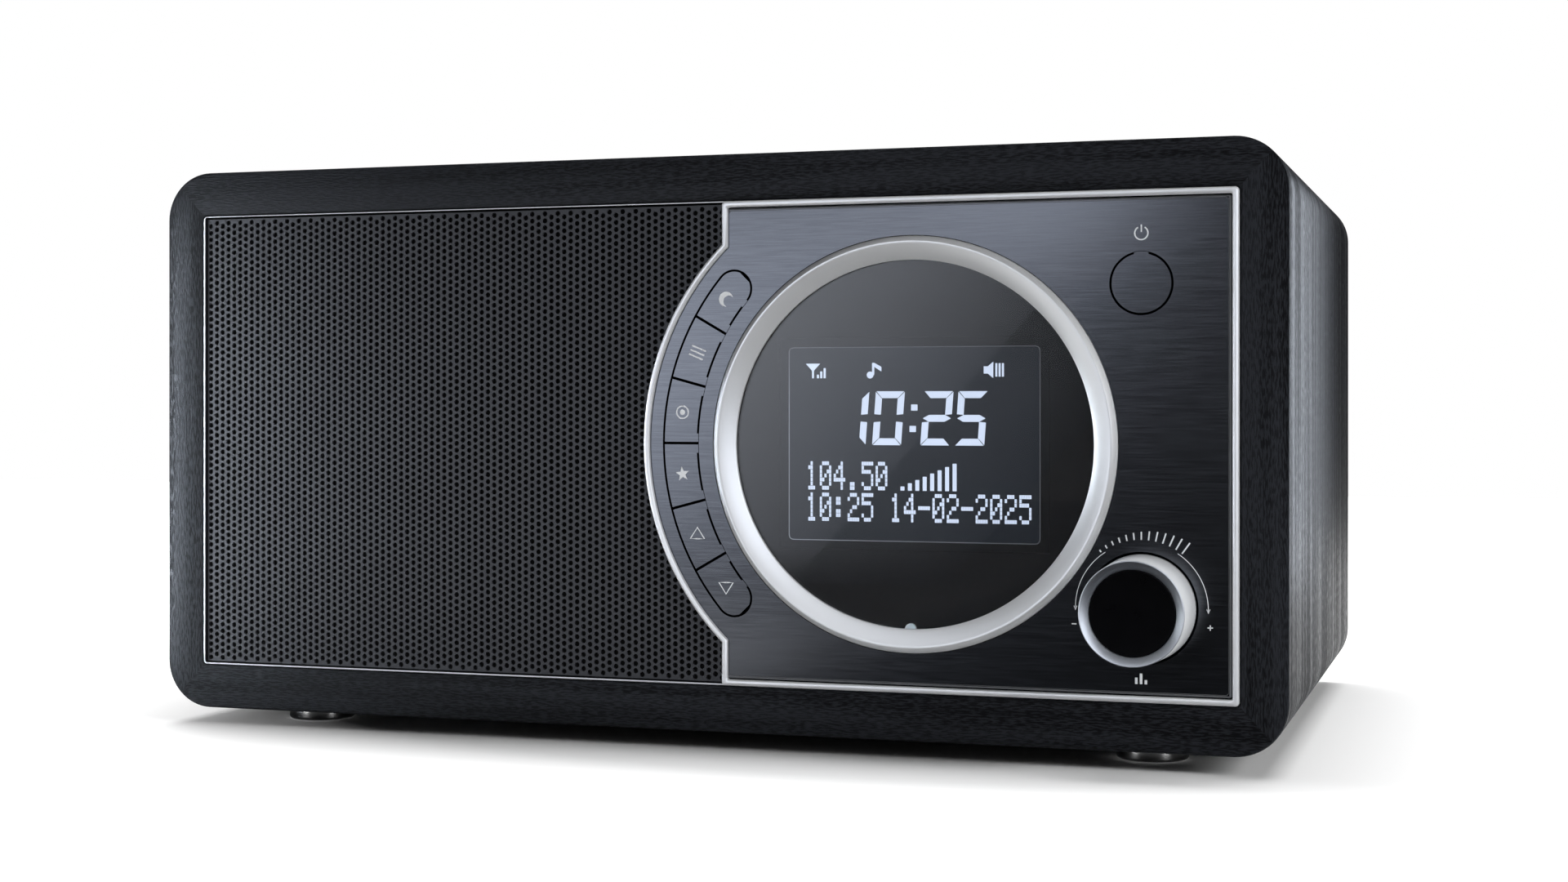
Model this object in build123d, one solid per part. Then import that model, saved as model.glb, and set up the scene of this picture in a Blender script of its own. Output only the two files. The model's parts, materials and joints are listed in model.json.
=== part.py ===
from build123d import *
import math
import os

# Tabletop radio: a wooden cabinet with a speaker grille on the left and a control panel on the right.
# The panel has a round display, an arc of hinged keys, a mode button and a knob.
# Lengths are in millimetres and angles in degrees. X runs to the right, Y to the back and Z up.
# The origin is on the table, under the middle of the whole object.
# Depths count from the cabinet's front face to the back, and heights from the cabinet's underside.

# Cabinet
SIDE_WALL = 9.0
TOP_WALL = 9.4
CABINET_DEPTH = 150.0
CABINET_CORNER_RADIUS = 10.2
CABINET_EDGE_ROUND = 0.6
OPENING_CORNER_RADIUS = 2.0
CORNER_BLOCK_SIZE = 10.0
CORNER_BLOCK_LENGTH = 12.0

# Feet
FOOT_DIAMETER = 14.2
FOOT_HEIGHT = 3.5
FOOT_EDGE_CHAMFER = 0.6
FOOT_PEG_DIAMETER = 4.0
FOOT_PEG_LENGTH = 5.0
FOOT_INSET_X = 28.0
FOOT_INSET_Y = 17.5

# Clearances
FIT_GAP = 0.1
SLIDE_GAP = 0.3
SHAFT_GAP = 0.05
SCREW_GAP = 0.05

# Front plates
PANEL_THICKNESS = 2.0
PANEL_GAP = 0.2
PANEL_MARGIN = 5.55
BAFFLE_THICKNESS = 3.0
BEZEL_WIDTH = 0.55
BEZEL_PROUD = 0.3
GRILLE_THICKNESS = 0.8
GRILLE_WIDTH = 102.07
TRIM_WIDTH = 1.2
TRIM_PROUD = 0.9
TRIM_CORNER_RADIUS = 1.2
SHOULDER_OFFSET = 38.8

# Display
WINDOW_VIEW_RADIUS = 36.1
WINDOW_LIP = 2.0
WINDOW_THICKNESS = 0.95
RING_WIDTH = 4.65
RING_BEVEL = 1.05
RING_PROUD = 1.2
RING_DIP = 0.3
RING_GAP = 0.15
STATUS_LIGHT_RADIUS = 1.1
STATUS_LIGHT_HEIGHT = 0.7
LCD_VIEW_WIDTH = 50.9
LCD_VIEW_HEIGHT = 38.3
LCD_BORDER = 1.6
LCD_THICKNESS = 2.2
LCD_SETBACK = 0.2
BACKLIGHT_THICKNESS = 2.4
HOLDER_WALL = 2.4
HOLDER_FLOOR = 1.2

# Keys
KEY_RING_MARGIN = 3.0
KEY_WIDTH = 6.86
KEY_SLOT = 0.44
KEY_RADIAL_SLOT = 0.55
KEY_EDGE_MARGIN = 2.56
KEY_PITCH_ANGLE = 14.95
KEY_END_ANGLE = 40.4
KEY_BRIDGE_ANGLE = 2.5
KEY_TRAVEL_ANGLE = 3.0
BRIDGE_THICKNESS = 0.8
BRIDGE_GAP = 0.1
POST_DIAMETER = 2.6
POST_OFFSET = 0.7
POST_ENGAGEMENT = 1.0
SWITCH_SIZE = 6.0
SWITCH_HEIGHT = 3.6

# Mode button
MODE_RADIUS = 5.64
MODE_SLOT = 0.45
MODE_BRIDGE_ANGLE = 13.7
MODE_TRAVEL_ANGLE = 2.5

# Knob and its rotary control
CONTROL_MARGIN = 3.0
CONTROL_ANGLE = 34.23
RIGHT_MARGIN = 6.9
KNOB_RADIUS = 10.3
KNOB_RIM_RADIUS = 9.8
KNOB_FACE_RADIUS = 8.1
KNOB_PROUD = 12.0
KNOB_DISH = 1.3
KNOB_FACE_THICKNESS = 1.25
KNOB_WEB = 1.6
KNOB_WALL = 1.6
KNOB_HUB_RADIUS = 4.4
KNOB_WELL_GAP = 0.45
KNOB_FLOOR_GAP = 0.7
KNOB_HUB_GAP = 0.4
KNOB_TRAVEL = 0.5
SHAFT_RADIUS = 3.0
SHAFT_FLAT = 2.2
SHAFT_FLANGE_RADIUS = 4.0
SHAFT_FLANGE_THICKNESS = 0.55
BUSH_RADIUS = 3.5
BUSH_END = 0.2
NUT_RADIUS = 5.2
NUT_THICKNESS = 1.8
ENCODER_SIZE = 12.4
ENCODER_HEIGHT = 5.4
ENCODER_GAP = 0.6
ENCODER_ROOF = 1.4
SLIDER_SIZE = 8.6
SLIDER_THICKNESS = 1.0

# Front circuit board
BOARD_THICKNESS = 1.6
FRONT_BOARD_MARGIN = 6.0
FRONT_BOARD_REACH = 1.9
FRONT_BOSS_INSET = 5.0
FRONT_BOSS_OFFSET = 12.0
BOSS_RADIUS = 2.6

# Loudspeaker
SPEAKER_RADIUS = 38.5
SPEAKER_SEAT = 4.5
GASKET_THICKNESS = 0.8
BASKET_SHEET = 1.2
BASKET_LIP = 6.7
BASKET_HEIGHT = 19.4
BASKET_BACK_RADIUS = 26.2
BASKET_BORE_RADIUS = 10.2
SURROUND_ROLL = 2.5
SURROUND_SHEET = 0.5
SURROUND_LIP = 1.6
CONE_SHEET = 0.7
CONE_DEPTH = 11.1
COIL_RADIUS = 9.6
COIL_WALL = 0.6
COIL_LENGTH = 12.0
SPIDER_SHEET = 0.5
SPIDER_SETBACK = 2.0
DUST_CAP_RADIUS = 11.5
DUST_CAP_HEIGHT = 2.7
DUST_CAP_SHOULDER = 2.0
MAGNET_RADIUS = 20.0
MAGNET_THICKNESS = 8.0
MAGNET_BORE_RADIUS = 11.0
YOKE_THICKNESS = 3.0
POLE_RADIUS = 8.4
TERMINAL_WIDTH = 10.0
TERMINAL_HEIGHT = 3.0
TERMINAL_THICKNESS = 1.4
TERMINAL_DROP = 23.2

# Screws
WOOD_SCREW_RADIUS = 1.4
WOOD_SCREW_HEAD_RADIUS = 2.8
WOOD_SCREW_LENGTH = 12.0
SMALL_SCREW_RADIUS = 1.0
SMALL_SCREW_HEAD_RADIUS = 2.2
SMALL_SCREW_HEAD_HEIGHT = 1.4
BOARD_SCREW_LENGTH = 5.6
SPEAKER_SCREW_LENGTH = 4.4
SPEAKER_SCREW_INSET = 2.3
PILOT_SPARE = 0.5

# Rear panel, main board and sockets
REAR_PANEL_RECESS = 1.0
REAR_PANEL_THICKNESS = 3.0
REAR_GAP = 0.3
MAIN_BOARD_WIDTH = 100.0
MAIN_BOARD_HEIGHT = 46.0
MAIN_BOARD_X = 42.0
MAIN_BOARD_Z = 38.0
MAIN_BOSS_INSET = 4.0
JACK_LENGTH = 12.2
JACK_GAP = 0.2
JACK_NOSE_LENGTH = 2.8
JACK_SIZE = 9.0
JACK_NOSE_RADIUS = 3.0
JACK_BORE_RADIUS = 1.8
JACK_BORE_LENGTH = 13.5
HEADPHONE_OFFSET = -32.0
LINE_OFFSET = -12.0
SOCKET_Z = 28.0
DC_OFFSET = 20.0
DC_SIZE = 10.0
DC_NOSE_RADIUS = 4.0
DC_BORE_RADIUS = 2.75
DC_BORE_LENGTH = 9.5
DC_PIN_RADIUS = 1.0
DC_PIN_SETBACK = 1.0
TUNER_WIDTH = 30.0
TUNER_HEIGHT = 22.0
TUNER_DEPTH = 5.0
TUNER_GAP = 0.8
TUNER_RISE = 8.0
CAPACITOR_RADIUS = 4.0
CAPACITOR_HEIGHT = 11.0
CHIP_WIDTH = 14.0
CHIP_DEPTH = 7.0
CHIP_HEIGHT = 1.6

# Aerial
AERIAL_INSET_X = 25.0
AERIAL_INSET_Z = 20.0
AERIAL_TUBE_LENGTH = 150.0
AERIAL_TUBE_STEP = 2.5
AERIAL_RADIUS = 3.5
AERIAL_TUBE_WALL = 0.5
AERIAL_TIP_RADIUS = 3.0
AERIAL_TIP_LENGTH = 6.0
AERIAL_PLUG_LENGTH = 4.7
SOCKET_FLANGE_RADIUS = 7.5
SOCKET_FLANGE_THICKNESS = 2.0
SOCKET_BODY_SIZE = 9.0
SOCKET_BODY_LENGTH = 8.0
TURRET_RADIUS = 5.5
TURRET_BASE = 1.1
TURRET_STEM_RADIUS = 2.5
TURRET_NECK = 0.8
KNUCKLE_RADIUS = 3.2
KNUCKLE_THICKNESS = 4.6
KNUCKLE_GAP = 0.2
CHEEK_REACH = 3.6
HINGE_PIN_RADIUS = 1.5
HINGE_PIN_LENGTH = 10.0
RETAINER_RADIUS = 4.5
RETAINER_THICKNESS = 1.4

# Leads
ARC_SHARE = 0.45
SPEAKER_LEAD_DIAMETER = 2.6
AERIAL_LEAD_DIAMETER = 2.2
RIBBON_WIDTH = 12.0
RIBBON_THICKNESS = 0.9
RIBBON_OFFSET = -8.0
RIBBON_Z = 24.0
CONNECTOR_HEIGHT = 4.0
CONNECTOR_MARGIN = 1.0
SPEAKER_PLUG_HEIGHT = 6.0
SPEAKER_PLUG_WIDTH = 8.0
SPEAKER_PLUG_INSET = 10.0
SPEAKER_PLUG_Z = 26.0
AERIAL_PLUG_SIZE = 6.0
AERIAL_PLUG_HEIGHT = 4.0
AERIAL_PLUG_INSET = 14.0
AERIAL_PLUG_RISE = 10.0

# Front layout, worked out from the display outwards
ring_radius = WINDOW_VIEW_RADIUS + RING_WIDTH
ring_hole_radius = ring_radius + RING_GAP
key_hole_inner = ring_hole_radius + KEY_RING_MARGIN
key_inner = key_hole_inner + KEY_SLOT
key_middle = key_inner + KEY_WIDTH / 2
key_hole_outer = key_inner + KEY_WIDTH + KEY_SLOT
panel_inset = TRIM_WIDTH + PANEL_GAP
trim_arc_radius = key_hole_outer + KEY_EDGE_MARGIN + panel_inset
knob_well_radius = KNOB_RADIUS + KNOB_WELL_GAP
control_distance = ring_hole_radius + knob_well_radius + CONTROL_MARGIN
control_dx = control_distance * math.cos(math.radians(CONTROL_ANGLE))
control_dz = control_distance * math.sin(math.radians(CONTROL_ANGLE))
frame_inset = FIT_GAP + BEZEL_WIDTH + FIT_GAP

cabinet_height = 2 * (TOP_WALL + frame_inset + panel_inset + PANEL_MARGIN + ring_hole_radius)
panel_reach = trim_arc_radius + control_dx + knob_well_radius + RIGHT_MARGIN
cabinet_width = 2 * (SIDE_WALL + frame_inset) + GRILLE_WIDTH + panel_reach
opening_width = cabinet_width - 2 * SIDE_WALL
opening_height = cabinet_height - 2 * TOP_WALL
front_width = opening_width - 2 * frame_inset
front_height = opening_height - 2 * frame_inset
middle_z = cabinet_height / 2
front_right = front_width / 2
control_x = front_right - RIGHT_MARGIN - knob_well_radius
display_x = control_x - control_dx
display_z = middle_z
knob_z = display_z - control_dz
mode_z = display_z + control_dz
speaker_x = -front_right + GRILLE_WIDTH / 2
speaker_z = middle_z

# Depths of the front parts
baffle_front = PANEL_THICKNESS
baffle_back = baffle_front + BAFFLE_THICKNESS
front_board_face = baffle_back + ENCODER_GAP + ENCODER_HEIGHT
front_board_back = front_board_face + BOARD_THICKNESS
switch_face = front_board_face - SWITCH_HEIGHT

# Depths of the rear parts
rear_back = CABINET_DEPTH - REAR_PANEL_RECESS
rear_front = rear_back - REAR_PANEL_THICKNESS
main_board_back = rear_front - JACK_GAP - JACK_LENGTH
main_board_face = main_board_back - BOARD_THICKNESS
jack_shoulder = main_board_back + JACK_LENGTH
jack_mouth = jack_shoulder + JACK_NOSE_LENGTH

# Places on the main board
main_board_left = MAIN_BOARD_X - MAIN_BOARD_WIDTH / 2
main_board_right = MAIN_BOARD_X + MAIN_BOARD_WIDTH / 2
headphone_x = MAIN_BOARD_X + HEADPHONE_OFFSET
line_x = MAIN_BOARD_X + LINE_OFFSET
dc_x = MAIN_BOARD_X + DC_OFFSET
ribbon_x = MAIN_BOARD_X + RIBBON_OFFSET
tuner_edge = main_board_right - MAIN_BOSS_INSET - SMALL_SCREW_HEAD_RADIUS - TUNER_GAP
tuner_x = tuner_edge - TUNER_WIDTH / 2
tuner_z = MAIN_BOARD_Z + TUNER_RISE
speaker_plug_x = main_board_left + SPEAKER_PLUG_INSET
aerial_plug_x = main_board_right - AERIAL_PLUG_INSET
aerial_plug_z = MAIN_BOARD_Z + AERIAL_PLUG_RISE

# Aerial layout
aerial_x = cabinet_width / 2 - AERIAL_INSET_X
aerial_height = cabinet_height - AERIAL_INSET_Z
socket_back = rear_back + SOCKET_FLANGE_THICKNESS
turret_front = socket_back + FIT_GAP
turret_floor = turret_front + TURRET_BASE
aerial_depth = turret_floor + SLIDE_GAP + KNUCKLE_RADIUS
turret_back = aerial_depth + CHEEK_REACH
aerial_back = max(turret_back, aerial_depth + AERIAL_RADIUS)

# The whole object, from the knob's rim to the back of the aerial, is centred on the origin.
front_y = KNOB_PROUD - (KNOB_PROUD + aerial_back) / 2


def front_plane(depth):
    """The front view's drawing plane at a depth."""
    return Plane(origin=(0, front_y + depth, FOOT_HEIGHT), x_dir=(1, 0, 0), z_dir=(0, -1, 0))


def slab(outline, near, far):
    """A front-view outline, solid from one depth to another."""
    return extrude(front_plane(far) * outline, amount=far - near)


def disc(x, z, radius, near, far):
    """A round bar along the depth."""
    return slab(Pos(x, z) * Circle(radius), near, far)


def block(x, z, width, height, near, far):
    """A rectangular bar along the depth."""
    return slab(Pos(x, z) * Rectangle(width, height), near, far)


def turned(x, z, profile):
    """A round piece about a front-to-back axis, from corners given as radius and depth."""
    plane = Plane(origin=(x, front_y, FOOT_HEIGHT + z), x_dir=(1, 0, 0), z_dir=(0, 0, 1))
    outline = make_face(Polyline(*profile, close=True))
    return revolve(plane * outline, Axis(plane.origin, (0, 1, 0)))


def corners(x, z, half_width, half_height):
    """The four corners of a rectangle in the front view."""
    return [(x + sx * half_width, z + sz * half_height) for sx in (-1, 1) for sz in (-1, 1)]


def wood_screw(x, z, head, way, gap=0.0):
    """A countersunk screw, or its hole where a gap is given. way is 1 when it is driven to the back."""
    head_radius = WOOD_SCREW_HEAD_RADIUS + gap
    shank = WOOD_SCREW_RADIUS + gap
    neck = head + way * (head_radius - shank)
    tip = head + way * (WOOD_SCREW_LENGTH + (PILOT_SPARE if gap else 0))
    return turned(x, z, [(0, head), (head_radius, head), (shank, neck), (shank, tip), (0, tip)])


def small_screw(x, z, seat, way, length):
    """A pan-head screw whose head lies on a seat. way is 1 when it is driven to the back."""
    top = seat - way * SMALL_SCREW_HEAD_HEIGHT
    tip = seat + way * length
    head = SMALL_SCREW_HEAD_RADIUS
    shank = SMALL_SCREW_RADIUS
    return turned(x, z, [(0, top), (head, top), (head, seat), (shank, seat), (shank, tip), (0, tip)])


def group(solids):
    """Separate solids that share one piece."""
    return Compound(children=[solid for shape in solids for solid in shape.solids()])


# Front-view outlines

def opening_outline(inset):
    """The cabinet's opening, drawn in by an inset."""
    radius = max(OPENING_CORNER_RADIUS - inset, FIT_GAP)
    width = opening_width - 2 * inset
    height = opening_height - 2 * inset
    return Pos(0, middle_z) * RectangleRounded(width, height, radius)


def panel_outline(inset, corner_radius):
    """The control panel with its bulge round the display, drawn in from the trim's outer edge."""
    left = display_x - SHOULDER_OFFSET + inset
    width = front_right - inset - left
    height = front_height - 2 * inset
    body = Pos(left + width / 2, middle_z) * Rectangle(width, height)
    if corner_radius:
        body = fillet(body.vertices(), corner_radius)
    bulge_radius = trim_arc_radius - inset
    bulge = Pos(display_x, display_z) * Circle(bulge_radius)
    left_side = Pos(left - bulge_radius / 2, middle_z) * Rectangle(bulge_radius, 2 * bulge_radius)
    return body + (bulge & left_side)


def left_direction(angle, radius):
    """A point of the front view at an angle above the display's left side."""
    turn = math.radians(angle)
    return (display_x - radius * math.cos(turn), display_z + radius * math.sin(turn))


def wedge(low_angle, high_angle, radius):
    """A triangle from the display's axis that spans two angles, longer than a radius."""
    reach = 2 * radius
    tip = (display_x, display_z)
    triangle = Polyline(tip, left_direction(low_angle, reach), left_direction(high_angle, reach), close=True)
    return make_face(triangle)


def ring_sector(inner, outer, low_angle, high_angle):
    """A stretch of a ring round the display, left of it."""
    ring = Pos(display_x, display_z) * (Circle(outer) - Circle(inner))
    return ring & wedge(low_angle, high_angle, outer)


def keypad_outline(half_width):
    """The arc of keys as one band with round ends."""
    band = ring_sector(key_middle - half_width, key_middle + half_width, -KEY_END_ANGLE, KEY_END_ANGLE)
    for angle in (-KEY_END_ANGLE, KEY_END_ANGLE):
        band += Pos(*left_direction(angle, key_middle)) * Circle(half_width)
    return band


# Cabinet, blocks and feet

block_x = opening_width / 2 - CORNER_BLOCK_SIZE / 2
block_z = opening_height / 2 - CORNER_BLOCK_SIZE / 2
block_places = corners(0, middle_z, block_x, block_z)
foot_x = cabinet_width / 2 - FOOT_INSET_X
foot_y = CABINET_DEPTH / 2 - FOOT_INSET_Y
foot_places = [(sx * foot_x, front_y + CABINET_DEPTH / 2 + sy * foot_y) for sx in (-1, 1) for sy in (-1, 1)]


def cabinet_shell():
    outer = Pos(0, middle_z) * RectangleRounded(cabinet_width, cabinet_height, CABINET_CORNER_RADIUS)
    shell = slab(outer, 0, CABINET_DEPTH)
    ends = shell.faces().sort_by(Axis.Y)
    shell = fillet(ends[0].edges() + ends[-1].edges(), CABINET_EDGE_ROUND)
    shell -= slab(opening_outline(0), 0, CABINET_DEPTH)
    stand = (Align.CENTER, Align.CENTER, Align.MIN)
    hole_radius = FOOT_PEG_DIAMETER / 2 + SHAFT_GAP
    for x, y in foot_places:
        shell -= Pos(x, y, FOOT_HEIGHT) * Cylinder(hole_radius, FOOT_PEG_LENGTH + PILOT_SPARE, align=stand)
    return shell


def feet():
    stand = (Align.CENTER, Align.CENTER, Align.MIN)
    solids = []
    for x, y in foot_places:
        pad = Cylinder(FOOT_DIAMETER / 2, FOOT_HEIGHT, align=stand)
        pad = chamfer(pad.edges().group_by(Axis.Z)[0], FOOT_EDGE_CHAMFER)
        peg = Pos(0, 0, FOOT_HEIGHT) * Cylinder(FOOT_PEG_DIAMETER / 2, FOOT_PEG_LENGTH, align=stand)
        solids.append(Pos(x, y, 0) * (pad + peg))
    return group(solids)


def corner_blocks():
    corner_radius = OPENING_CORNER_RADIUS + SLIDE_GAP
    outline = RectangleRounded(CORNER_BLOCK_SIZE, CORNER_BLOCK_SIZE, corner_radius)
    solids = []
    for x, z in block_places:
        front = slab(Pos(x, z) * outline, baffle_back, baffle_back + CORNER_BLOCK_LENGTH)
        rear = slab(Pos(x, z) * outline, rear_front - CORNER_BLOCK_LENGTH, rear_front)
        solids.append(front - wood_screw(x, z, baffle_front, 1, SCREW_GAP))
        solids.append(rear - wood_screw(x, z, rear_back, -1, SCREW_GAP))
    return group(solids)


def cabinet_screws():
    fronts = [wood_screw(x, z, baffle_front, 1) for x, z in block_places]
    rears = [wood_screw(x, z, rear_back, -1) for x, z in block_places]
    return group(fronts + rears)


# Keys and the mode button

post_radius = POST_DIAMETER / 2
post_tip = switch_face + POST_ENGAGEMENT
key_tilt = math.sin(math.radians(KEY_TRAVEL_ANGLE))
mode_tilt = math.sin(math.radians(MODE_TRAVEL_ANGLE))
post_hole_radius = post_radius + post_tip * max(key_tilt, mode_tilt) + SLIDE_GAP
key_room = (key_hole_outer - key_hole_inner) * key_tilt + SLIDE_GAP
mode_room = 2 * (MODE_RADIUS + MODE_SLOT) * mode_tilt + SLIDE_GAP
switch_well = switch_face + POST_ENGAGEMENT + max(key_room, mode_room)
slot_half_angle = math.degrees(math.asin(KEY_RADIAL_SLOT / 2 / key_inner))
key_tip_angle = KEY_END_ANGLE + math.degrees(KEY_WIDTH / 2 / key_middle)
key_limits = {
    "sleep_key": (2 * KEY_PITCH_ANGLE, key_tip_angle),
    "menu_key": (KEY_PITCH_ANGLE, 2 * KEY_PITCH_ANGLE),
    "enter_key": (0.0, KEY_PITCH_ANGLE),
    "preset_key": (-KEY_PITCH_ANGLE, 0.0),
    "up_key": (-2 * KEY_PITCH_ANGLE, -KEY_PITCH_ANGLE),
    "down_key": (-key_tip_angle, -2 * KEY_PITCH_ANGLE),
}
key_angles = {name: (low + high) / 2 for name, (low, high) in key_limits.items()}
post_places = {name: left_direction(angle, key_middle + POST_OFFSET) for name, angle in key_angles.items()}
post_places["mode_button"] = (control_x, mode_z)


def arc_key(name):
    """One key of the arc: its plate, its two thin bridges and the post that works its switch."""
    low, high = key_limits[name]
    plate = keypad_outline(KEY_WIDTH / 2) & wedge(low, high, trim_arc_radius)
    for angle in (low, high):
        slot = Pos(*left_direction(angle, key_middle)) * Rot(0, 0, -angle)
        plate -= slot * Rectangle(2 * KEY_WIDTH, KEY_RADIAL_SLOT)
    key = slab(plate, 0, PANEL_THICKNESS)
    low_edge = max(low + slot_half_angle, -KEY_END_ANGLE)
    high_edge = min(high - slot_half_angle, KEY_END_ANGLE)
    bridge_inner = key_hole_inner + BRIDGE_GAP
    for edge, side in ((low_edge, 1), (high_edge, -1)):
        other = edge + side * (KEY_BRIDGE_ANGLE - slot_half_angle)
        bridge = ring_sector(bridge_inner, key_inner + BRIDGE_GAP, min(edge, other), max(edge, other))
        key += slab(bridge, 0, BRIDGE_THICKNESS)
    x, z = post_places[name]
    return key + disc(x, z, post_radius, PANEL_THICKNESS, post_tip)


def mode_button():
    cap = disc(control_x, mode_z, MODE_RADIUS, 0, PANEL_THICKNESS)
    reach = 2 * MODE_RADIUS
    side = reach * math.tan(math.radians(MODE_BRIDGE_ANGLE))
    fan = make_face(Polyline((0, 0), (-side, reach), (side, reach), close=True))
    ring = Circle(MODE_RADIUS + MODE_SLOT - BRIDGE_GAP) - Circle(MODE_RADIUS - BRIDGE_GAP)
    bridge = slab(Pos(control_x, mode_z) * (ring & fan), 0, BRIDGE_THICKNESS)
    return cap + bridge + disc(control_x, mode_z, post_radius, PANEL_THICKNESS, post_tip)


def key_switches():
    solids = []
    for x, z in post_places.values():
        housing = block(x, z, SWITCH_SIZE, SWITCH_SIZE, switch_face, front_board_face)
        solids.append(housing - disc(x, z, post_hole_radius, switch_face, switch_well))
    return group(solids)


# Front plates

board_left = display_x - key_hole_outer - FRONT_BOARD_REACH
board_right = opening_width / 2 - CORNER_BLOCK_SIZE - FIT_GAP - SLIDE_GAP
board_low = middle_z - front_height / 2 + FRONT_BOARD_MARGIN
board_high = middle_z + front_height / 2 - FRONT_BOARD_MARGIN
front_boss_xs = (board_left + FRONT_BOSS_INSET, control_x - FRONT_BOSS_OFFSET)
front_boss_zs = (board_low + FRONT_BOSS_INSET, board_high - FRONT_BOSS_INSET)
front_boss_places = [(x, z) for x in front_boss_xs for z in front_boss_zs]
lcd_width = LCD_VIEW_WIDTH + 2 * LCD_BORDER
lcd_height = LCD_VIEW_HEIGHT + 2 * LCD_BORDER
lcd_front = baffle_front + LCD_SETBACK
lcd_back = lcd_front + LCD_THICKNESS
backlight_back = lcd_back + BACKLIGHT_THICKNESS
speaker_hole_radius = SPEAKER_RADIUS - SPEAKER_SEAT
speaker_screw_spread = (SPEAKER_RADIUS - SPEAKER_SCREW_INSET) / math.sqrt(2)
speaker_screw_places = corners(speaker_x, speaker_z, speaker_screw_spread, speaker_screw_spread)
flange_front = baffle_back + GASKET_THICKNESS
flange_back = flange_front + BASKET_SHEET


def front_baffle():
    baffle = slab(opening_outline(FIT_GAP), baffle_front, baffle_back)
    for x, z in front_boss_places:
        baffle += disc(x, z, BOSS_RADIUS, baffle_back, front_board_face)
    for x, z in front_boss_places:
        pilot_end = front_board_back - BOARD_SCREW_LENGTH - PILOT_SPARE
        baffle -= disc(x, z, SMALL_SCREW_RADIUS + SCREW_GAP, pilot_end, front_board_face)
    for x, z in speaker_screw_places:
        pilot_end = flange_back - SPEAKER_SCREW_LENGTH
        baffle -= disc(x, z, SMALL_SCREW_RADIUS + SCREW_GAP, pilot_end - FIT_GAP, baffle_back)
    for x, z in block_places:
        baffle -= wood_screw(x, z, baffle_front, 1, SCREW_GAP)
    baffle -= disc(speaker_x, speaker_z, speaker_hole_radius, baffle_front, baffle_back)
    lcd_hole = (lcd_width + 2 * SLIDE_GAP, lcd_height + 2 * SLIDE_GAP)
    baffle -= block(display_x, display_z, *lcd_hole, baffle_front, baffle_back)
    for x, z in post_places.values():
        baffle -= disc(x, z, post_hole_radius, baffle_front, baffle_back)
    baffle -= slab(keypad_outline(KEY_WIDTH / 2 + KEY_SLOT), baffle_front, baffle_front + key_room)
    baffle -= disc(control_x, mode_z, MODE_RADIUS + MODE_SLOT, baffle_front, baffle_front + mode_room)
    return baffle - disc(control_x, knob_z, BUSH_RADIUS + FIT_GAP, baffle_front, baffle_back)


def front_bezel():
    ring = opening_outline(FIT_GAP) - opening_outline(FIT_GAP + BEZEL_WIDTH)
    return slab(ring, -BEZEL_PROUD, baffle_front)


def speaker_grille():
    sheet = opening_outline(frame_inset) - panel_outline(-PANEL_GAP, 0)
    return slab(sheet, baffle_front - GRILLE_THICKNESS, baffle_front)


def panel_trim():
    band = panel_outline(0, TRIM_CORNER_RADIUS) - panel_outline(TRIM_WIDTH, TRIM_CORNER_RADIUS / 2)
    return slab(band, -TRIM_PROUD, baffle_front)


def control_panel():
    plate = panel_outline(panel_inset, TRIM_CORNER_RADIUS / 2)
    plate -= Pos(display_x, display_z) * Circle(ring_hole_radius)
    plate -= keypad_outline(KEY_WIDTH / 2 + KEY_SLOT)
    plate -= Pos(control_x, mode_z) * Circle(MODE_RADIUS + MODE_SLOT)
    plate -= Pos(control_x, knob_z) * Circle(knob_well_radius)
    return slab(plate, 0, baffle_front)


# Display

window_radius = WINDOW_VIEW_RADIUS + WINDOW_LIP
window_front = baffle_front - WINDOW_THICKNESS
ring_crest = ring_radius - RING_BEVEL


def display_ring():
    rebate = window_radius + FIT_GAP
    step = window_front - SHAFT_GAP
    profile = [
        (ring_radius, baffle_front),
        (ring_radius, 0),
        (ring_crest, -RING_PROUD),
        (WINDOW_VIEW_RADIUS, RING_DIP),
        (WINDOW_VIEW_RADIUS, step),
        (rebate, step),
        (rebate, baffle_front),
    ]
    return turned(display_x, display_z, profile)


def display_window():
    return disc(display_x, display_z, window_radius, window_front, baffle_front)


def status_light():
    foot = Pos(display_x, display_z - WINDOW_VIEW_RADIUS) * Circle(STATUS_LIGHT_RADIUS)
    inside = Pos(display_x, display_z) * Circle(WINDOW_VIEW_RADIUS - SHAFT_GAP)
    return slab(foot & inside, window_front - STATUS_LIGHT_HEIGHT, window_front)


def lcd_panel():
    return block(display_x, display_z, lcd_width, lcd_height, lcd_front, lcd_back)


def backlight():
    return block(display_x, display_z, lcd_width, lcd_height, lcd_back, backlight_back)


def lcd_holder():
    pocket = (lcd_width + 2 * SLIDE_GAP, lcd_height + 2 * SLIDE_GAP)
    tray = (pocket[0] + 2 * HOLDER_WALL, pocket[1] + 2 * HOLDER_WALL)
    holder = block(display_x, display_z, *tray, baffle_back, backlight_back + HOLDER_FLOOR)
    return holder - block(display_x, display_z, *pocket, baffle_back, backlight_back)


# Front board and the knob's rotary control

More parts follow.
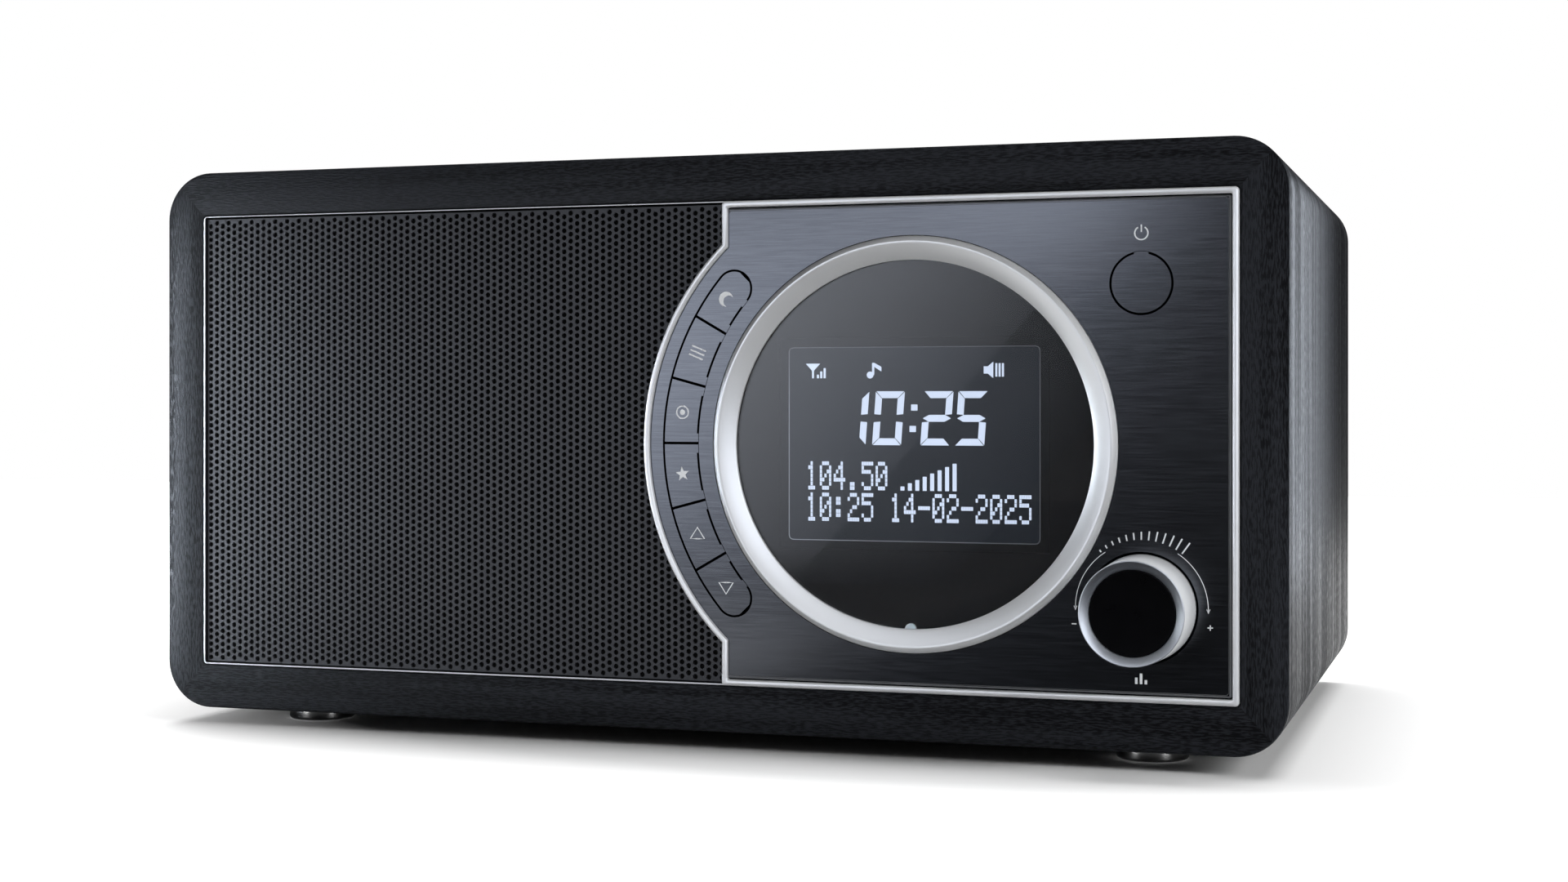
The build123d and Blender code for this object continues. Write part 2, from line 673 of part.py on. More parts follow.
bush_end = baffle_front - NUT_THICKNESS - BUSH_END
encoder_front = front_board_face - ENCODER_HEIGHT
flange_face = encoder_front + ENCODER_ROOF + FIT_GAP
shaft_back = flange_face + SHAFT_FLANGE_THICKNESS
slider_front = shaft_back + SHAFT_GAP
slider_back = slider_front + SLIDER_THICKNESS
chamber_back = slider_back + KNOB_TRAVEL + SLIDE_GAP
knob_base = baffle_front - KNOB_TRAVEL - KNOB_FLOOR_GAP
hub_back = bush_end - KNOB_TRAVEL - KNOB_HUB_GAP
face_front = KNOB_DISH - KNOB_PROUD
face_back = face_front + KNOB_FACE_THICKNESS
web_back = face_back + KNOB_WEB
shaft_front = face_back + KNOB_WEB / 2


def flatted_circle(radius, flat):
    """A shaft's section with one flat side."""
    return Circle(radius) - Pos(flat + radius, 0) * Rectangle(2 * radius, 2 * radius)


def front_board():
    width = board_right - board_left
    height = board_high - board_low
    board = block(board_left + width / 2, middle_z, width, height, front_board_face, front_board_back)
    for x, z in front_boss_places:
        board -= disc(x, z, SMALL_SCREW_RADIUS + SLIDE_GAP, front_board_face, front_board_back)
    return board


def encoder_body():
    chamber = SLIDER_SIZE + 2 * SLIDE_GAP
    body = block(control_x, knob_z, ENCODER_SIZE, ENCODER_SIZE, encoder_front, front_board_face)
    body += disc(control_x, knob_z, BUSH_RADIUS, bush_end, encoder_front)
    body -= block(control_x, knob_z, chamber, chamber, encoder_front + ENCODER_ROOF, chamber_back)
    return body - disc(control_x, knob_z, SHAFT_RADIUS + SHAFT_GAP, bush_end, encoder_front + ENCODER_ROOF)


def encoder_nut():
    hexagon = RegularPolygon(NUT_RADIUS, 6) - Circle(BUSH_RADIUS + SHAFT_GAP)
    return slab(Pos(control_x, knob_z) * hexagon, baffle_front - NUT_THICKNESS, baffle_front)


def encoder_slider():
    return block(control_x, knob_z, SLIDER_SIZE, SLIDER_SIZE, slider_front, slider_back)


def encoder_shaft():
    flatted = slab(Pos(control_x, knob_z) * flatted_circle(SHAFT_RADIUS, SHAFT_FLAT), shaft_front, hub_back)
    round_part = disc(control_x, knob_z, SHAFT_RADIUS, hub_back, flange_face)
    flange = disc(control_x, knob_z, SHAFT_FLANGE_RADIUS, flange_face, shaft_back)
    return flatted + round_part + flange


def knob_shell():
    inner = KNOB_RADIUS - KNOB_WALL
    profile = [
        (KNOB_RADIUS, knob_base),
        (KNOB_RIM_RADIUS, -KNOB_PROUD),
        (KNOB_FACE_RADIUS, face_front),
        (KNOB_FACE_RADIUS, face_back),
        (0, face_back),
        (0, hub_back),
        (KNOB_HUB_RADIUS, hub_back),
        (KNOB_HUB_RADIUS, web_back),
        (inner, web_back),
        (inner, knob_base),
    ]
    bore = flatted_circle(SHAFT_RADIUS + SHAFT_GAP, SHAFT_FLAT + SHAFT_GAP)
    bore_end = shaft_front - SHAFT_GAP
    return turned(control_x, knob_z, profile) - slab(Pos(control_x, knob_z) * bore, bore_end, hub_back)


def knob_face():
    return disc(control_x, knob_z, KNOB_FACE_RADIUS - SHAFT_GAP, face_front, face_back)


# Loudspeaker

basket_inner = SPEAKER_RADIUS - BASKET_LIP
basket_back = flange_front + BASKET_HEIGHT
basket_floor = basket_back - BASKET_SHEET
roll_radius = basket_inner - SURROUND_ROLL
cone_rim_inner = roll_radius - SURROUND_ROLL - SURROUND_LIP
cone_neck = flange_front + CONE_DEPTH
magnet_back = basket_back + MAGNET_THICKNESS


def speaker_gasket():
    ring = Circle(SPEAKER_RADIUS) - Circle(speaker_hole_radius)
    gasket = slab(Pos(speaker_x, speaker_z) * ring, baffle_back, flange_front)
    for x, z in speaker_screw_places:
        gasket -= disc(x, z, SMALL_SCREW_RADIUS + SLIDE_GAP, baffle_back, flange_front)
    return gasket


def speaker_basket():
    profile = [
        (SPEAKER_RADIUS, flange_front),
        (SPEAKER_RADIUS, flange_back),
        (basket_inner + BASKET_SHEET, flange_back),
        (BASKET_BACK_RADIUS, basket_floor),
        (BASKET_BACK_RADIUS, basket_back),
        (BASKET_BORE_RADIUS, basket_back),
        (BASKET_BORE_RADIUS, basket_floor),
        (BASKET_BACK_RADIUS - BASKET_SHEET, basket_floor),
        (basket_inner, flange_back),
        (basket_inner, flange_front),
    ]
    basket = turned(speaker_x, speaker_z, profile)
    for x, z in speaker_screw_places:
        basket -= disc(x, z, SMALL_SCREW_RADIUS + SLIDE_GAP, flange_front, flange_back)
    return basket


def speaker_surround():
    half_sheet = SURROUND_SHEET / 2
    lip_front = flange_front - SURROUND_SHEET
    roll = Circle(SURROUND_ROLL + half_sheet) - Circle(SURROUND_ROLL - half_sheet)
    front_half = Pos(0, -SURROUND_ROLL) * Rectangle(4 * SURROUND_ROLL, 2 * SURROUND_ROLL)
    section = Pos(roll_radius, flange_front) * (roll & front_half)
    lip_length = SURROUND_LIP + half_sheet
    for side in (-1, 1):
        lip_x = roll_radius + side * (SURROUND_ROLL - half_sheet + lip_length / 2)
        section += Pos(lip_x, lip_front + half_sheet) * Rectangle(lip_length, SURROUND_SHEET)
    plane = Plane(origin=(speaker_x, front_y, FOOT_HEIGHT + speaker_z), x_dir=(1, 0, 0), z_dir=(0, 0, 1))
    return revolve(plane * section, Axis(plane.origin, (0, 1, 0)))


def speaker_cone():
    rim = cone_rim_inner + SURROUND_LIP
    neck = COIL_RADIUS + SHAFT_GAP
    profile = [
        (rim, flange_front),
        (rim, flange_front + CONE_SHEET),
        (cone_rim_inner + CONE_SHEET / 2, flange_front + CONE_SHEET),
        (neck, cone_neck + CONE_SHEET),
        (neck, cone_neck),
        (cone_rim_inner, flange_front),
    ]
    return turned(speaker_x, speaker_z, profile)


def dust_cap():
    slope = CONE_DEPTH / (cone_rim_inner - COIL_RADIUS)
    rim = cone_neck - slope * (DUST_CAP_RADIUS - COIL_RADIUS) - FIT_GAP
    half = DUST_CAP_RADIUS / 2
    profile = [
        (0, rim - DUST_CAP_HEIGHT),
        (half, rim - DUST_CAP_SHOULDER),
        (DUST_CAP_RADIUS, rim - SPIDER_SHEET),
        (DUST_CAP_RADIUS, rim),
        (half, rim - DUST_CAP_SHOULDER + SPIDER_SHEET),
        (0, rim - DUST_CAP_HEIGHT + SPIDER_SHEET),
    ]
    return turned(speaker_x, speaker_z, profile)


def voice_coil():
    coil = Pos(speaker_x, speaker_z) * (Circle(COIL_RADIUS) - Circle(COIL_RADIUS - COIL_WALL))
    return slab(coil, cone_neck, cone_neck + COIL_LENGTH)


def speaker_spider():
    near = cone_neck + CONE_SHEET + SPIDER_SETBACK
    share = (near + SPIDER_SHEET - flange_back) / (basket_floor - flange_back)
    wall = basket_inner + share * (BASKET_BACK_RADIUS - BASKET_SHEET - basket_inner)
    ring = Circle(wall - FIT_GAP) - Circle(COIL_RADIUS + SHAFT_GAP)
    return slab(Pos(speaker_x, speaker_z) * ring, near, near + SPIDER_SHEET)


def speaker_magnet():
    ring = Circle(MAGNET_RADIUS) - Circle(MAGNET_BORE_RADIUS)
    return slab(Pos(speaker_x, speaker_z) * ring, basket_back, magnet_back)


def speaker_yoke():
    plate = disc(speaker_x, speaker_z, MAGNET_RADIUS, magnet_back, magnet_back + YOKE_THICKNESS)
    return plate + disc(speaker_x, speaker_z, POLE_RADIUS, basket_floor, magnet_back)


def speaker_terminals():
    z = speaker_z - TERMINAL_DROP
    return block(speaker_x, z, TERMINAL_WIDTH, TERMINAL_HEIGHT, basket_back, basket_back + TERMINAL_THICKNESS)


def speaker_screws():
    return group([small_screw(x, z, flange_back, -1, SPEAKER_SCREW_LENGTH) for x, z in speaker_screw_places])


# Rear panel, main board and sockets

main_boss_places = corners(
    MAIN_BOARD_X,
    MAIN_BOARD_Z,
    MAIN_BOARD_WIDTH / 2 - MAIN_BOSS_INSET,
    MAIN_BOARD_HEIGHT / 2 - MAIN_BOSS_INSET,
)


def rear_panel():
    panel = slab(opening_outline(REAR_GAP), rear_front, rear_back)
    for x, z in main_boss_places:
        panel += disc(x, z, BOSS_RADIUS, main_board_back, rear_front)
    for x, z in main_boss_places:
        pilot_end = main_board_face + BOARD_SCREW_LENGTH + PILOT_SPARE
        panel -= disc(x, z, SMALL_SCREW_RADIUS + SCREW_GAP, main_board_back, pilot_end)
    for x, z in block_places:
        panel -= wood_screw(x, z, rear_back, -1, SCREW_GAP)
    for x in (headphone_x, line_x):
        panel -= disc(x, SOCKET_Z, JACK_NOSE_RADIUS + JACK_GAP, rear_front, rear_back)
    panel -= disc(dc_x, SOCKET_Z, DC_NOSE_RADIUS + JACK_GAP, rear_front, rear_back)
    socket_hole = SOCKET_BODY_SIZE + 2 * FIT_GAP
    return panel - block(aerial_x, aerial_height, socket_hole, socket_hole, rear_front, rear_back)


def main_board():
    board = block(
        MAIN_BOARD_X, MAIN_BOARD_Z, MAIN_BOARD_WIDTH, MAIN_BOARD_HEIGHT, main_board_face, main_board_back
    )
    for x, z in main_boss_places:
        board -= disc(x, z, SMALL_SCREW_RADIUS + SLIDE_GAP, main_board_face, main_board_back)
    return board


def board_screws():
    fronts = [small_screw(x, z, front_board_back, -1, BOARD_SCREW_LENGTH) for x, z in front_boss_places]
    rears = [small_screw(x, z, main_board_face, 1, BOARD_SCREW_LENGTH) for x, z in main_boss_places]
    return group(fronts + rears)


def audio_jacks():
    solids = []
    for x in (headphone_x, line_x):
        jack = block(x, SOCKET_Z, JACK_SIZE, JACK_SIZE, main_board_back, jack_shoulder)
        jack += disc(x, SOCKET_Z, JACK_NOSE_RADIUS, jack_shoulder, jack_mouth)
        solids.append(jack - disc(x, SOCKET_Z, JACK_BORE_RADIUS, jack_mouth - JACK_BORE_LENGTH, jack_mouth))
    return group(solids)


def dc_jack():
    jack = block(dc_x, SOCKET_Z, DC_SIZE, DC_SIZE, main_board_back, jack_shoulder)
    jack += disc(dc_x, SOCKET_Z, DC_NOSE_RADIUS, jack_shoulder, jack_mouth)
    bore_end = jack_mouth - DC_BORE_LENGTH
    jack -= disc(dc_x, SOCKET_Z, DC_BORE_RADIUS, bore_end, jack_mouth)
    return jack + disc(dc_x, SOCKET_Z, DC_PIN_RADIUS, bore_end, jack_mouth - DC_PIN_SETBACK)


def tuner_can():
    return block(tuner_x, tuner_z, TUNER_WIDTH, TUNER_HEIGHT, main_board_face - TUNER_DEPTH, main_board_face)


ribbon_start = front_board_back + CONNECTOR_HEIGHT
ribbon_end = main_board_face - CONNECTOR_HEIGHT
speaker_plug_face = main_board_face - SPEAKER_PLUG_HEIGHT
aerial_plug_back = main_board_back + AERIAL_PLUG_HEIGHT


def board_components():
    """The larger parts on the main board, and the connectors that the leads end in."""
    ribbon_socket = (RIBBON_WIDTH + 2 * CONNECTOR_MARGIN, CONNECTOR_HEIGHT)
    solids = [
        block(ribbon_x, RIBBON_Z, *ribbon_socket, front_board_back, ribbon_start),
        block(ribbon_x, RIBBON_Z, *ribbon_socket, ribbon_end, main_board_face),
        block(
            speaker_plug_x, SPEAKER_PLUG_Z, SPEAKER_PLUG_WIDTH, SPEAKER_PLUG_HEIGHT,
            speaker_plug_face, main_board_face,
        ),
        block(
            aerial_plug_x, aerial_plug_z, AERIAL_PLUG_SIZE, AERIAL_PLUG_SIZE,
            main_board_back, aerial_plug_back,
        ),
    ]
    capacitor_top = main_board_face - CAPACITOR_HEIGHT
    capacitor_z = MAIN_BOARD_Z + MAIN_BOARD_HEIGHT / 2 - 2 * CAPACITOR_RADIUS
    for step in (1, 2, 3):
        x = main_board_left + 3 * step * CAPACITOR_RADIUS
        solids.append(disc(x, capacitor_z, CAPACITOR_RADIUS, capacitor_top, main_board_face))
    chip_top = main_board_face - CHIP_HEIGHT
    chip_z = MAIN_BOARD_Z - MAIN_BOARD_HEIGHT / 4
    for x in (headphone_x + CHIP_WIDTH / 2, dc_x):
        solids.append(block(x, chip_z, CHIP_WIDTH, CHIP_DEPTH, chip_top, main_board_face))
    return group(solids)


# Leads

def lead_path(points):
    """Straight runs between points given as x, depth and height, with the largest arcs that fit."""
    places = [Vector(x, front_y + depth, FOOT_HEIGHT + z) for x, depth, z in points]
    radii = []
    for before, corner, after in zip(places, places[1:], places[2:]):
        arriving = corner - before
        leaving = after - corner
        turn = math.radians(arriving.get_angle(leaving))
        radii.append(ARC_SHARE * min(arriving.length, leaving.length) / math.tan(turn / 2))
    path = FilletPolyline(*places, radius=radii)
    print("bend radii", [round(radius, 1) for radius in radii], "length", round(path.length, 1))
    return path


def round_lead(points, diameter):
    path = lead_path(points)
    section = Plane(origin=path @ 0, z_dir=path % 0) * Circle(diameter / 2)
    return sweep(section, path=path)


lead_floor = TOP_WALL + SPEAKER_LEAD_DIAMETER / 2 + SLIDE_GAP
ribbon_floor = TOP_WALL + RIBBON_THICKNESS / 2 + SLIDE_GAP


def speaker_lead():
    start = basket_back + TERMINAL_THICKNESS
    length = speaker_plug_face - start
    way = speaker_plug_x - speaker_x
    drop = speaker_z - TERMINAL_DROP
    points = [
        (speaker_x, start, drop),
        (speaker_x, start + 0.18 * length, drop),
        (speaker_x + 0.14 * way, start + 0.36 * length, lead_floor + 4),
        (speaker_x + 0.45 * way, start + 0.56 * length, lead_floor),
        (speaker_x + 0.84 * way, start + 0.70 * length, lead_floor + 3),
        (speaker_plug_x, start + 0.84 * length, SPEAKER_PLUG_Z),
        (speaker_plug_x, speaker_plug_face, SPEAKER_PLUG_Z),
    ]
    return round_lead(points, SPEAKER_LEAD_DIAMETER)


def ribbon_cable():
    length = ribbon_end - ribbon_start
    shape = [(0, RIBBON_Z), (0.13, RIBBON_Z), (0.28, ribbon_floor + 2), (0.5, ribbon_floor)]
    shape += [(0.72, ribbon_floor + 2), (0.87, RIBBON_Z), (1, RIBBON_Z)]
    path = lead_path([(ribbon_x, ribbon_start + share * length, z) for share, z in shape])
    plane = Plane(origin=path @ 0, x_dir=(1, 0, 0), z_dir=path % 0)
    return sweep(plane * Rectangle(RIBBON_WIDTH, RIBBON_THICKNESS), path=path)


def aerial_lead():
    socket_under = aerial_height - SOCKET_BODY_SIZE / 2
    socket_middle = rear_front - (SOCKET_BODY_LENGTH - REAR_PANEL_THICKNESS) / 2
    plug_top = aerial_plug_z + AERIAL_PLUG_SIZE / 2
    plug_middle = main_board_back + AERIAL_PLUG_HEIGHT / 2
    rise = socket_under - plug_top
    points = [
        (aerial_x, socket_middle, socket_under),
        (aerial_x, socket_middle, socket_under - 0.3 * rise),
        (aerial_plug_x, plug_middle, plug_top + 0.3 * rise),
        (aerial_plug_x, plug_middle, plug_top),
    ]
    return round_lead(points, AERIAL_LEAD_DIAMETER)


# Aerial

aerial_y = front_y + aerial_depth
aerial_z = FOOT_HEIGHT + aerial_height
socket_inner = rear_back - SOCKET_BODY_LENGTH
retainer_front = socket_inner - KNUCKLE_GAP - RETAINER_THICKNESS
tube_root = aerial_x - TURRET_RADIUS - TURRET_NECK
bore_root = tube_root - AERIAL_PLUG_LENGTH


def rod(start, length, outer, inner=0):
    """A tube or bar of the aerial, from a place on X towards the left."""
    plane = Plane(origin=(start, aerial_y, aerial_z), x_dir=(0, 1, 0), z_dir=(-1, 0, 0))
    section = Circle(outer) - Circle(inner) if inner else Circle(outer)
    return extrude(plane * section, amount=length)


def tube_radius(step):
    """The outside of one section of the aerial, which slides in the section before it."""
    return AERIAL_RADIUS - step * (AERIAL_TUBE_WALL + FIT_GAP)


def upright(section, height):
    """A section drawn round the hinge pin, solid about the rod's middle."""
    plane = Plane(origin=(aerial_x, aerial_y, aerial_z - height / 2), x_dir=(1, 0, 0), z_dir=(0, 0, 1))
    return extrude(plane * section, amount=height)


def aerial_socket():
    socket = disc(aerial_x, aerial_height, SOCKET_FLANGE_RADIUS, rear_back, socket_back)
    socket += block(aerial_x, aerial_height, SOCKET_BODY_SIZE, SOCKET_BODY_SIZE, socket_inner, rear_back)
    return socket - disc(aerial_x, aerial_height, TURRET_STEM_RADIUS + SHAFT_GAP, socket_inner, socket_back)


def aerial_turret():
    slot_height = KNUCKLE_THICKNESS + 2 * KNUCKLE_GAP
    turret = disc(aerial_x, aerial_height, TURRET_RADIUS, turret_front, turret_back)
    turret -= block(aerial_x, aerial_height, 4 * TURRET_RADIUS, slot_height, turret_floor, turret_back)
    turret += disc(aerial_x, aerial_height, TURRET_STEM_RADIUS, retainer_front, turret_front)
    return turret - upright(Circle(HINGE_PIN_RADIUS + SHAFT_GAP), 4 * TURRET_RADIUS)


def aerial_retainer():
    ring = Circle(RETAINER_RADIUS) - Circle(TURRET_STEM_RADIUS + SHAFT_GAP)
    return slab(Pos(aerial_x, aerial_height) * ring, retainer_front, retainer_front + RETAINER_THICKNESS)


def aerial_pin():
    return upright(Circle(HINGE_PIN_RADIUS), HINGE_PIN_LENGTH)


def aerial_lower_tube():
    reach = aerial_x - tube_root + AERIAL_PLUG_LENGTH / 2
    tongue = Circle(KNUCKLE_RADIUS) + Pos(-reach / 2, 0) * Rectangle(reach, 2 * KNUCKLE_RADIUS)
    lower = upright(tongue, KNUCKLE_THICKNESS) + rod(tube_root, AERIAL_PLUG_LENGTH, AERIAL_RADIUS)
    tube_length = AERIAL_TUBE_LENGTH - AERIAL_PLUG_LENGTH
    lower += rod(bore_root, tube_length, AERIAL_RADIUS, AERIAL_RADIUS - AERIAL_TUBE_WALL)
    return lower - upright(Circle(HINGE_PIN_RADIUS + SHAFT_GAP), 2 * KNUCKLE_THICKNESS)


def aerial_tube(step):
    """A sliding section, which stands out of the one before it by a small step."""
    start = bore_root - SLIDE_GAP
    length = AERIAL_TUBE_LENGTH - AERIAL_PLUG_LENGTH - SLIDE_GAP + step * AERIAL_TUBE_STEP
    return rod(start, length, tube_radius(step), tube_radius(step) - AERIAL_TUBE_WALL)


def aerial_tip_rod():
    start = bore_root - SLIDE_GAP
    length = AERIAL_TUBE_LENGTH - AERIAL_PLUG_LENGTH - SLIDE_GAP + 3 * AERIAL_TUBE_STEP
    return rod(start, length, tube_radius(3)) + rod(start - length, AERIAL_TIP_LENGTH, AERIAL_TIP_RADIUS)


pieces = {
    "cabinet_shell": cabinet_shell(),
    "corner_blocks": corner_blocks(),
    "feet": feet(),
    "cabinet_screws": cabinet_screws(),
    "front_baffle": front_baffle(),
    "front_bezel": front_bezel(),
    "speaker_grille": speaker_grille(),
    "panel_trim": panel_trim(),
    "control_panel": control_panel(),
    "display_ring": display_ring(),
    "display_window": display_window(),
    "status_light": status_light(),
    "lcd_panel": lcd_panel(),
    "backlight": backlight(),
    "lcd_holder": lcd_holder(),
    "front_board": front_board(),
    "key_switches": key_switches(),
    "mode_button": mode_button(),
    "encoder_body": encoder_body(),
    "encoder_nut": encoder_nut(),
    "encoder_slider": encoder_slider(),
    "encoder_shaft": encoder_shaft(),
    "knob_shell": knob_shell(),
    "knob_face": knob_face(),
    "speaker_gasket": speaker_gasket(),
    "speaker_basket": speaker_basket(),
    "speaker_surround": speaker_surround(),
    "speaker_cone": speaker_cone(),
    "dust_cap": dust_cap(),
    "voice_coil": voice_coil(),
    "speaker_spider": speaker_spider(),
    "speaker_magnet": speaker_magnet(),
    "speaker_yoke": speaker_yoke(),
    "speaker_terminals": speaker_terminals(),
    "speaker_screws": speaker_screws(),
    "rear_panel": rear_panel(),
    "main_board": main_board(),
    "board_screws": board_screws(),
    "board_components": board_components(),
    "tuner_can": tuner_can(),
    "audio_jacks": audio_jacks(),
    "dc_jack": dc_jack(),
    "speaker_lead": speaker_lead(),
    "ribbon_cable": ribbon_cable(),
    "aerial_lead": aerial_lead(),
    "aerial_socket": aerial_socket(),
    "aerial_turret": aerial_turret(),
    "aerial_retainer": aerial_retainer(),
    "aerial_pin": aerial_pin(),
    "aerial_lower_tube": aerial_lower_tube(),
    "aerial_second_tube": aerial_tube(1),
    "aerial_third_tube": aerial_tube(2),
    "aerial_tip_rod": aerial_tip_rod(),
}
for key_name in key_limits:
    pieces[key_name] = arc_key(key_name)

os.makedirs("parts", exist_ok=True)
for name, shape in pieces.items():
    export_step(shape, "parts/" + name + ".step")
print("cabinet", round(cabinet_width, 2), "x", round(cabinet_height, 2), "front face at", round(front_y, 2))
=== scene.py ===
import json
import math

import bmesh
import bpy
from mathutils import Matrix, Vector


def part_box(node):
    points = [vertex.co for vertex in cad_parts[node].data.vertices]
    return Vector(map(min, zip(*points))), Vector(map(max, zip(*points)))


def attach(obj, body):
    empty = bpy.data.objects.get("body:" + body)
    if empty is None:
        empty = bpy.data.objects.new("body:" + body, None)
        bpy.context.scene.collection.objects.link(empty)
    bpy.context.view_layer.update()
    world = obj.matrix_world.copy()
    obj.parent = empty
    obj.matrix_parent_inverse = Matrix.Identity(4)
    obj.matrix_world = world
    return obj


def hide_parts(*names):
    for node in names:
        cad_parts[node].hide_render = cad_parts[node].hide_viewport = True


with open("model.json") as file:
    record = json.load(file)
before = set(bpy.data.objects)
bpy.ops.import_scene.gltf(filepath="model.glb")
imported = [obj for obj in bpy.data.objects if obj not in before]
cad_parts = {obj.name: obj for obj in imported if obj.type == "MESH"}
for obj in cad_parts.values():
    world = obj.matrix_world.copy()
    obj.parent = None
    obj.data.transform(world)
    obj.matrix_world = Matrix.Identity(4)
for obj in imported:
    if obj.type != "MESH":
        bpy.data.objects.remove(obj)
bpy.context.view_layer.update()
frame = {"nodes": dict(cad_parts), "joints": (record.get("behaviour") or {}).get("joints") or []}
nodes = frame["nodes"]

# Cabinet
# A tube of fibreboard wrapped in veneer that is stained black. The grain runs round the tube, and
# round the front edge as on four mitred strips. The edges are cut square and only just eased.
MM = 0.001
CABINET_CORNER = 10.2 * MM
CABINET_EDGE = 0.5 * MM
OPENING_GAP = 0.1 * MM
OPENING_CORNER = 0.9 * MM
CORNER_STEPS = 16
SHARP = 0.5
FLAT = 0.9
TURN_SLACK = 0.001
TOUCH = 0.001 * MM
SMOOTH_ANGLE = math.radians(32)


def add_node(material, kind, inputs, **settings):
    """Adds a shader node to a material, with a value or a link on each input that is named."""
    tree = material.node_tree
    made = tree.nodes.new("ShaderNode" + kind)
    for name, value in settings.items():
        setattr(made, name, value)
    for name, value in inputs.items():
        if isinstance(value, bpy.types.NodeSocket):
            tree.links.new(value, made.inputs[name])
        else:
            made.inputs[name].default_value = value
    return made


def new_finish(name, colour, roughness, **values):
    """A material with one colour and roughness, and other values for its shader's sockets."""
    material = bpy.data.materials.new(name)
    material.use_nodes = True
    inputs = material.node_tree.nodes["Principled BSDF"].inputs
    inputs["Base Color"].default_value = (*colour, 1.0)
    inputs["Roughness"].default_value = roughness
    for socket, value in values.items():
        inputs[socket.replace("_", " ")].default_value = value
    return material


def drive(material, socket, source):
    """Links a node's output to a socket of the material's shader."""
    shader = material.node_tree.nodes["Principled BSDF"]
    material.node_tree.links.new(source, shader.inputs[socket])


def object_space(material):
    """The place of each point in the object's own coordinates, in metres."""
    return add_node(material, "TexCoord", {}).outputs["Object"]


def noise(material, cells, detail=2.0, coordinates=None):
    """Noise with this many cells to the metre. One number for each axis draws it out."""
    scale = cells if isinstance(cells, tuple) else (cells, cells, cells)
    place = coordinates or object_space(material)
    place = add_node(material, "Mapping", {"Vector": place, "Scale": scale}).outputs[0]
    return add_node(material, "TexNoise", {"Vector": place, "Scale": 1.0, "Detail": detail}).outputs[0]


def ranged(material, amount, low, high, first, last):
    """A number that goes from first to last as an amount goes from low to high."""
    inputs = {"Value": amount, "From Min": low, "From Max": high, "To Min": first, "To Max": last}
    return add_node(material, "MapRange", inputs).outputs[0]


def combined(material, operation, *values):
    """A number that is worked out from others."""
    return add_node(material, "Math", dict(enumerate(values)), operation=operation).outputs[0]


def blended(material, share, first, last):
    """A colour between two, by a share that runs from 0 to 1."""
    ends = [value if isinstance(value, bpy.types.NodeSocket) else (*value, 1.0) for value in (first, last)]
    return add_node(material, "Mix", {0: share, 6: ends[0], 7: ends[1]}, data_type="RGBA").outputs[2]


def bumped(material, height, strength, distance):
    """Gives the material's surface small hills."""
    bump = add_node(material, "Bump", {"Height": height, "Strength": strength, "Distance": distance})
    drive(material, "Normal", bump.outputs[0])


def add_piece(name, bm, body, slot, finishes, *replaced):
    """Makes a mesh that rides on a body, in place of the solids that it stands for, if any."""
    bmesh.ops.recalc_face_normals(bm, faces=bm.faces)
    mesh = bpy.data.meshes.new(name)
    bm.to_mesh(mesh)
    bm.free()
    for finish in finishes:
        mesh.materials.append(finish)
    mesh.shade_smooth()
    mesh.set_sharp_from_angle(angle=SMOOTH_ANGLE)
    piece = bpy.data.objects.new(name, mesh)
    bpy.context.scene.collection.objects.link(piece)
    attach(piece, body)
    if replaced:
        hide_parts(*replaced)
    return piece


def closed_loop(bm, points, depth):
    """The edges of a closed outline in the front view, at one depth."""
    verts = [bm.verts.new((x, depth, z)) for x, z in points]
    return [bm.edges.new(pair) for pair in zip(verts, verts[1:] + verts[:1])]


def arc_points(x, z, radius, start, end, steps):
    """Points along an arc in the front view, with its angles in degrees."""
    turns = [math.radians(start + (end - start) * step / steps) for step in range(steps + 1)]
    return [(x + radius * math.cos(turn), z + radius * math.sin(turn)) for turn in turns]


def rounded_points(low, high, radius, steps):
    """A rectangle with round corners in the front view, from the bottom right corner on."""
    left, right = low.x + radius, high.x - radius
    bottom, top = low.z + radius, high.z - radius
    points = []
    for turn, (x, z) in enumerate(((right, bottom), (right, top), (left, top), (left, bottom))):
        points += arc_points(x, z, radius, 90 * turn - 90, 90 * turn, steps)
    return points


def pushed(bm, made, depth):
    """Moves what an extrusion made along the depth, and returns its open edges."""
    verts = [item for item in made["geom"] if isinstance(item, bmesh.types.BMVert)]
    bmesh.ops.translate(bm, vec=(0, depth, 0), verts=verts)
    return [item for item in made["geom"] if isinstance(item, bmesh.types.BMEdge) and item.is_boundary]


def framed(outer, inner, front, back):
    """A closed frame between two outlines that have as many points."""
    bm = bmesh.new()
    edges = closed_loop(bm, outer, front) + closed_loop(bm, inner, front)
    faces = bmesh.ops.bridge_loops(bm, edges=edges)["faces"]
    pushed(bm, bmesh.ops.extrude_face_region(bm, geom=faces), back - front)
    bmesh.ops.recalc_face_normals(bm, faces=bm.faces)
    return bm


def ease_edges(bm, depth, radius, steps):
    """Rounds the sharp edges that lie at one depth."""
    level = [edge for edge in bm.edges if all(abs(vert.co.y - depth) < TOUCH for vert in edge.verts)]
    sharp = [edge for edge in level if edge.calc_face_angle(0.0) > SHARP]
    bmesh.ops.bevel(
        bm, geom=sharp, offset=radius, offset_type="OFFSET", segments=steps, profile=0.5,
        affect="EDGES", material=-1
    )


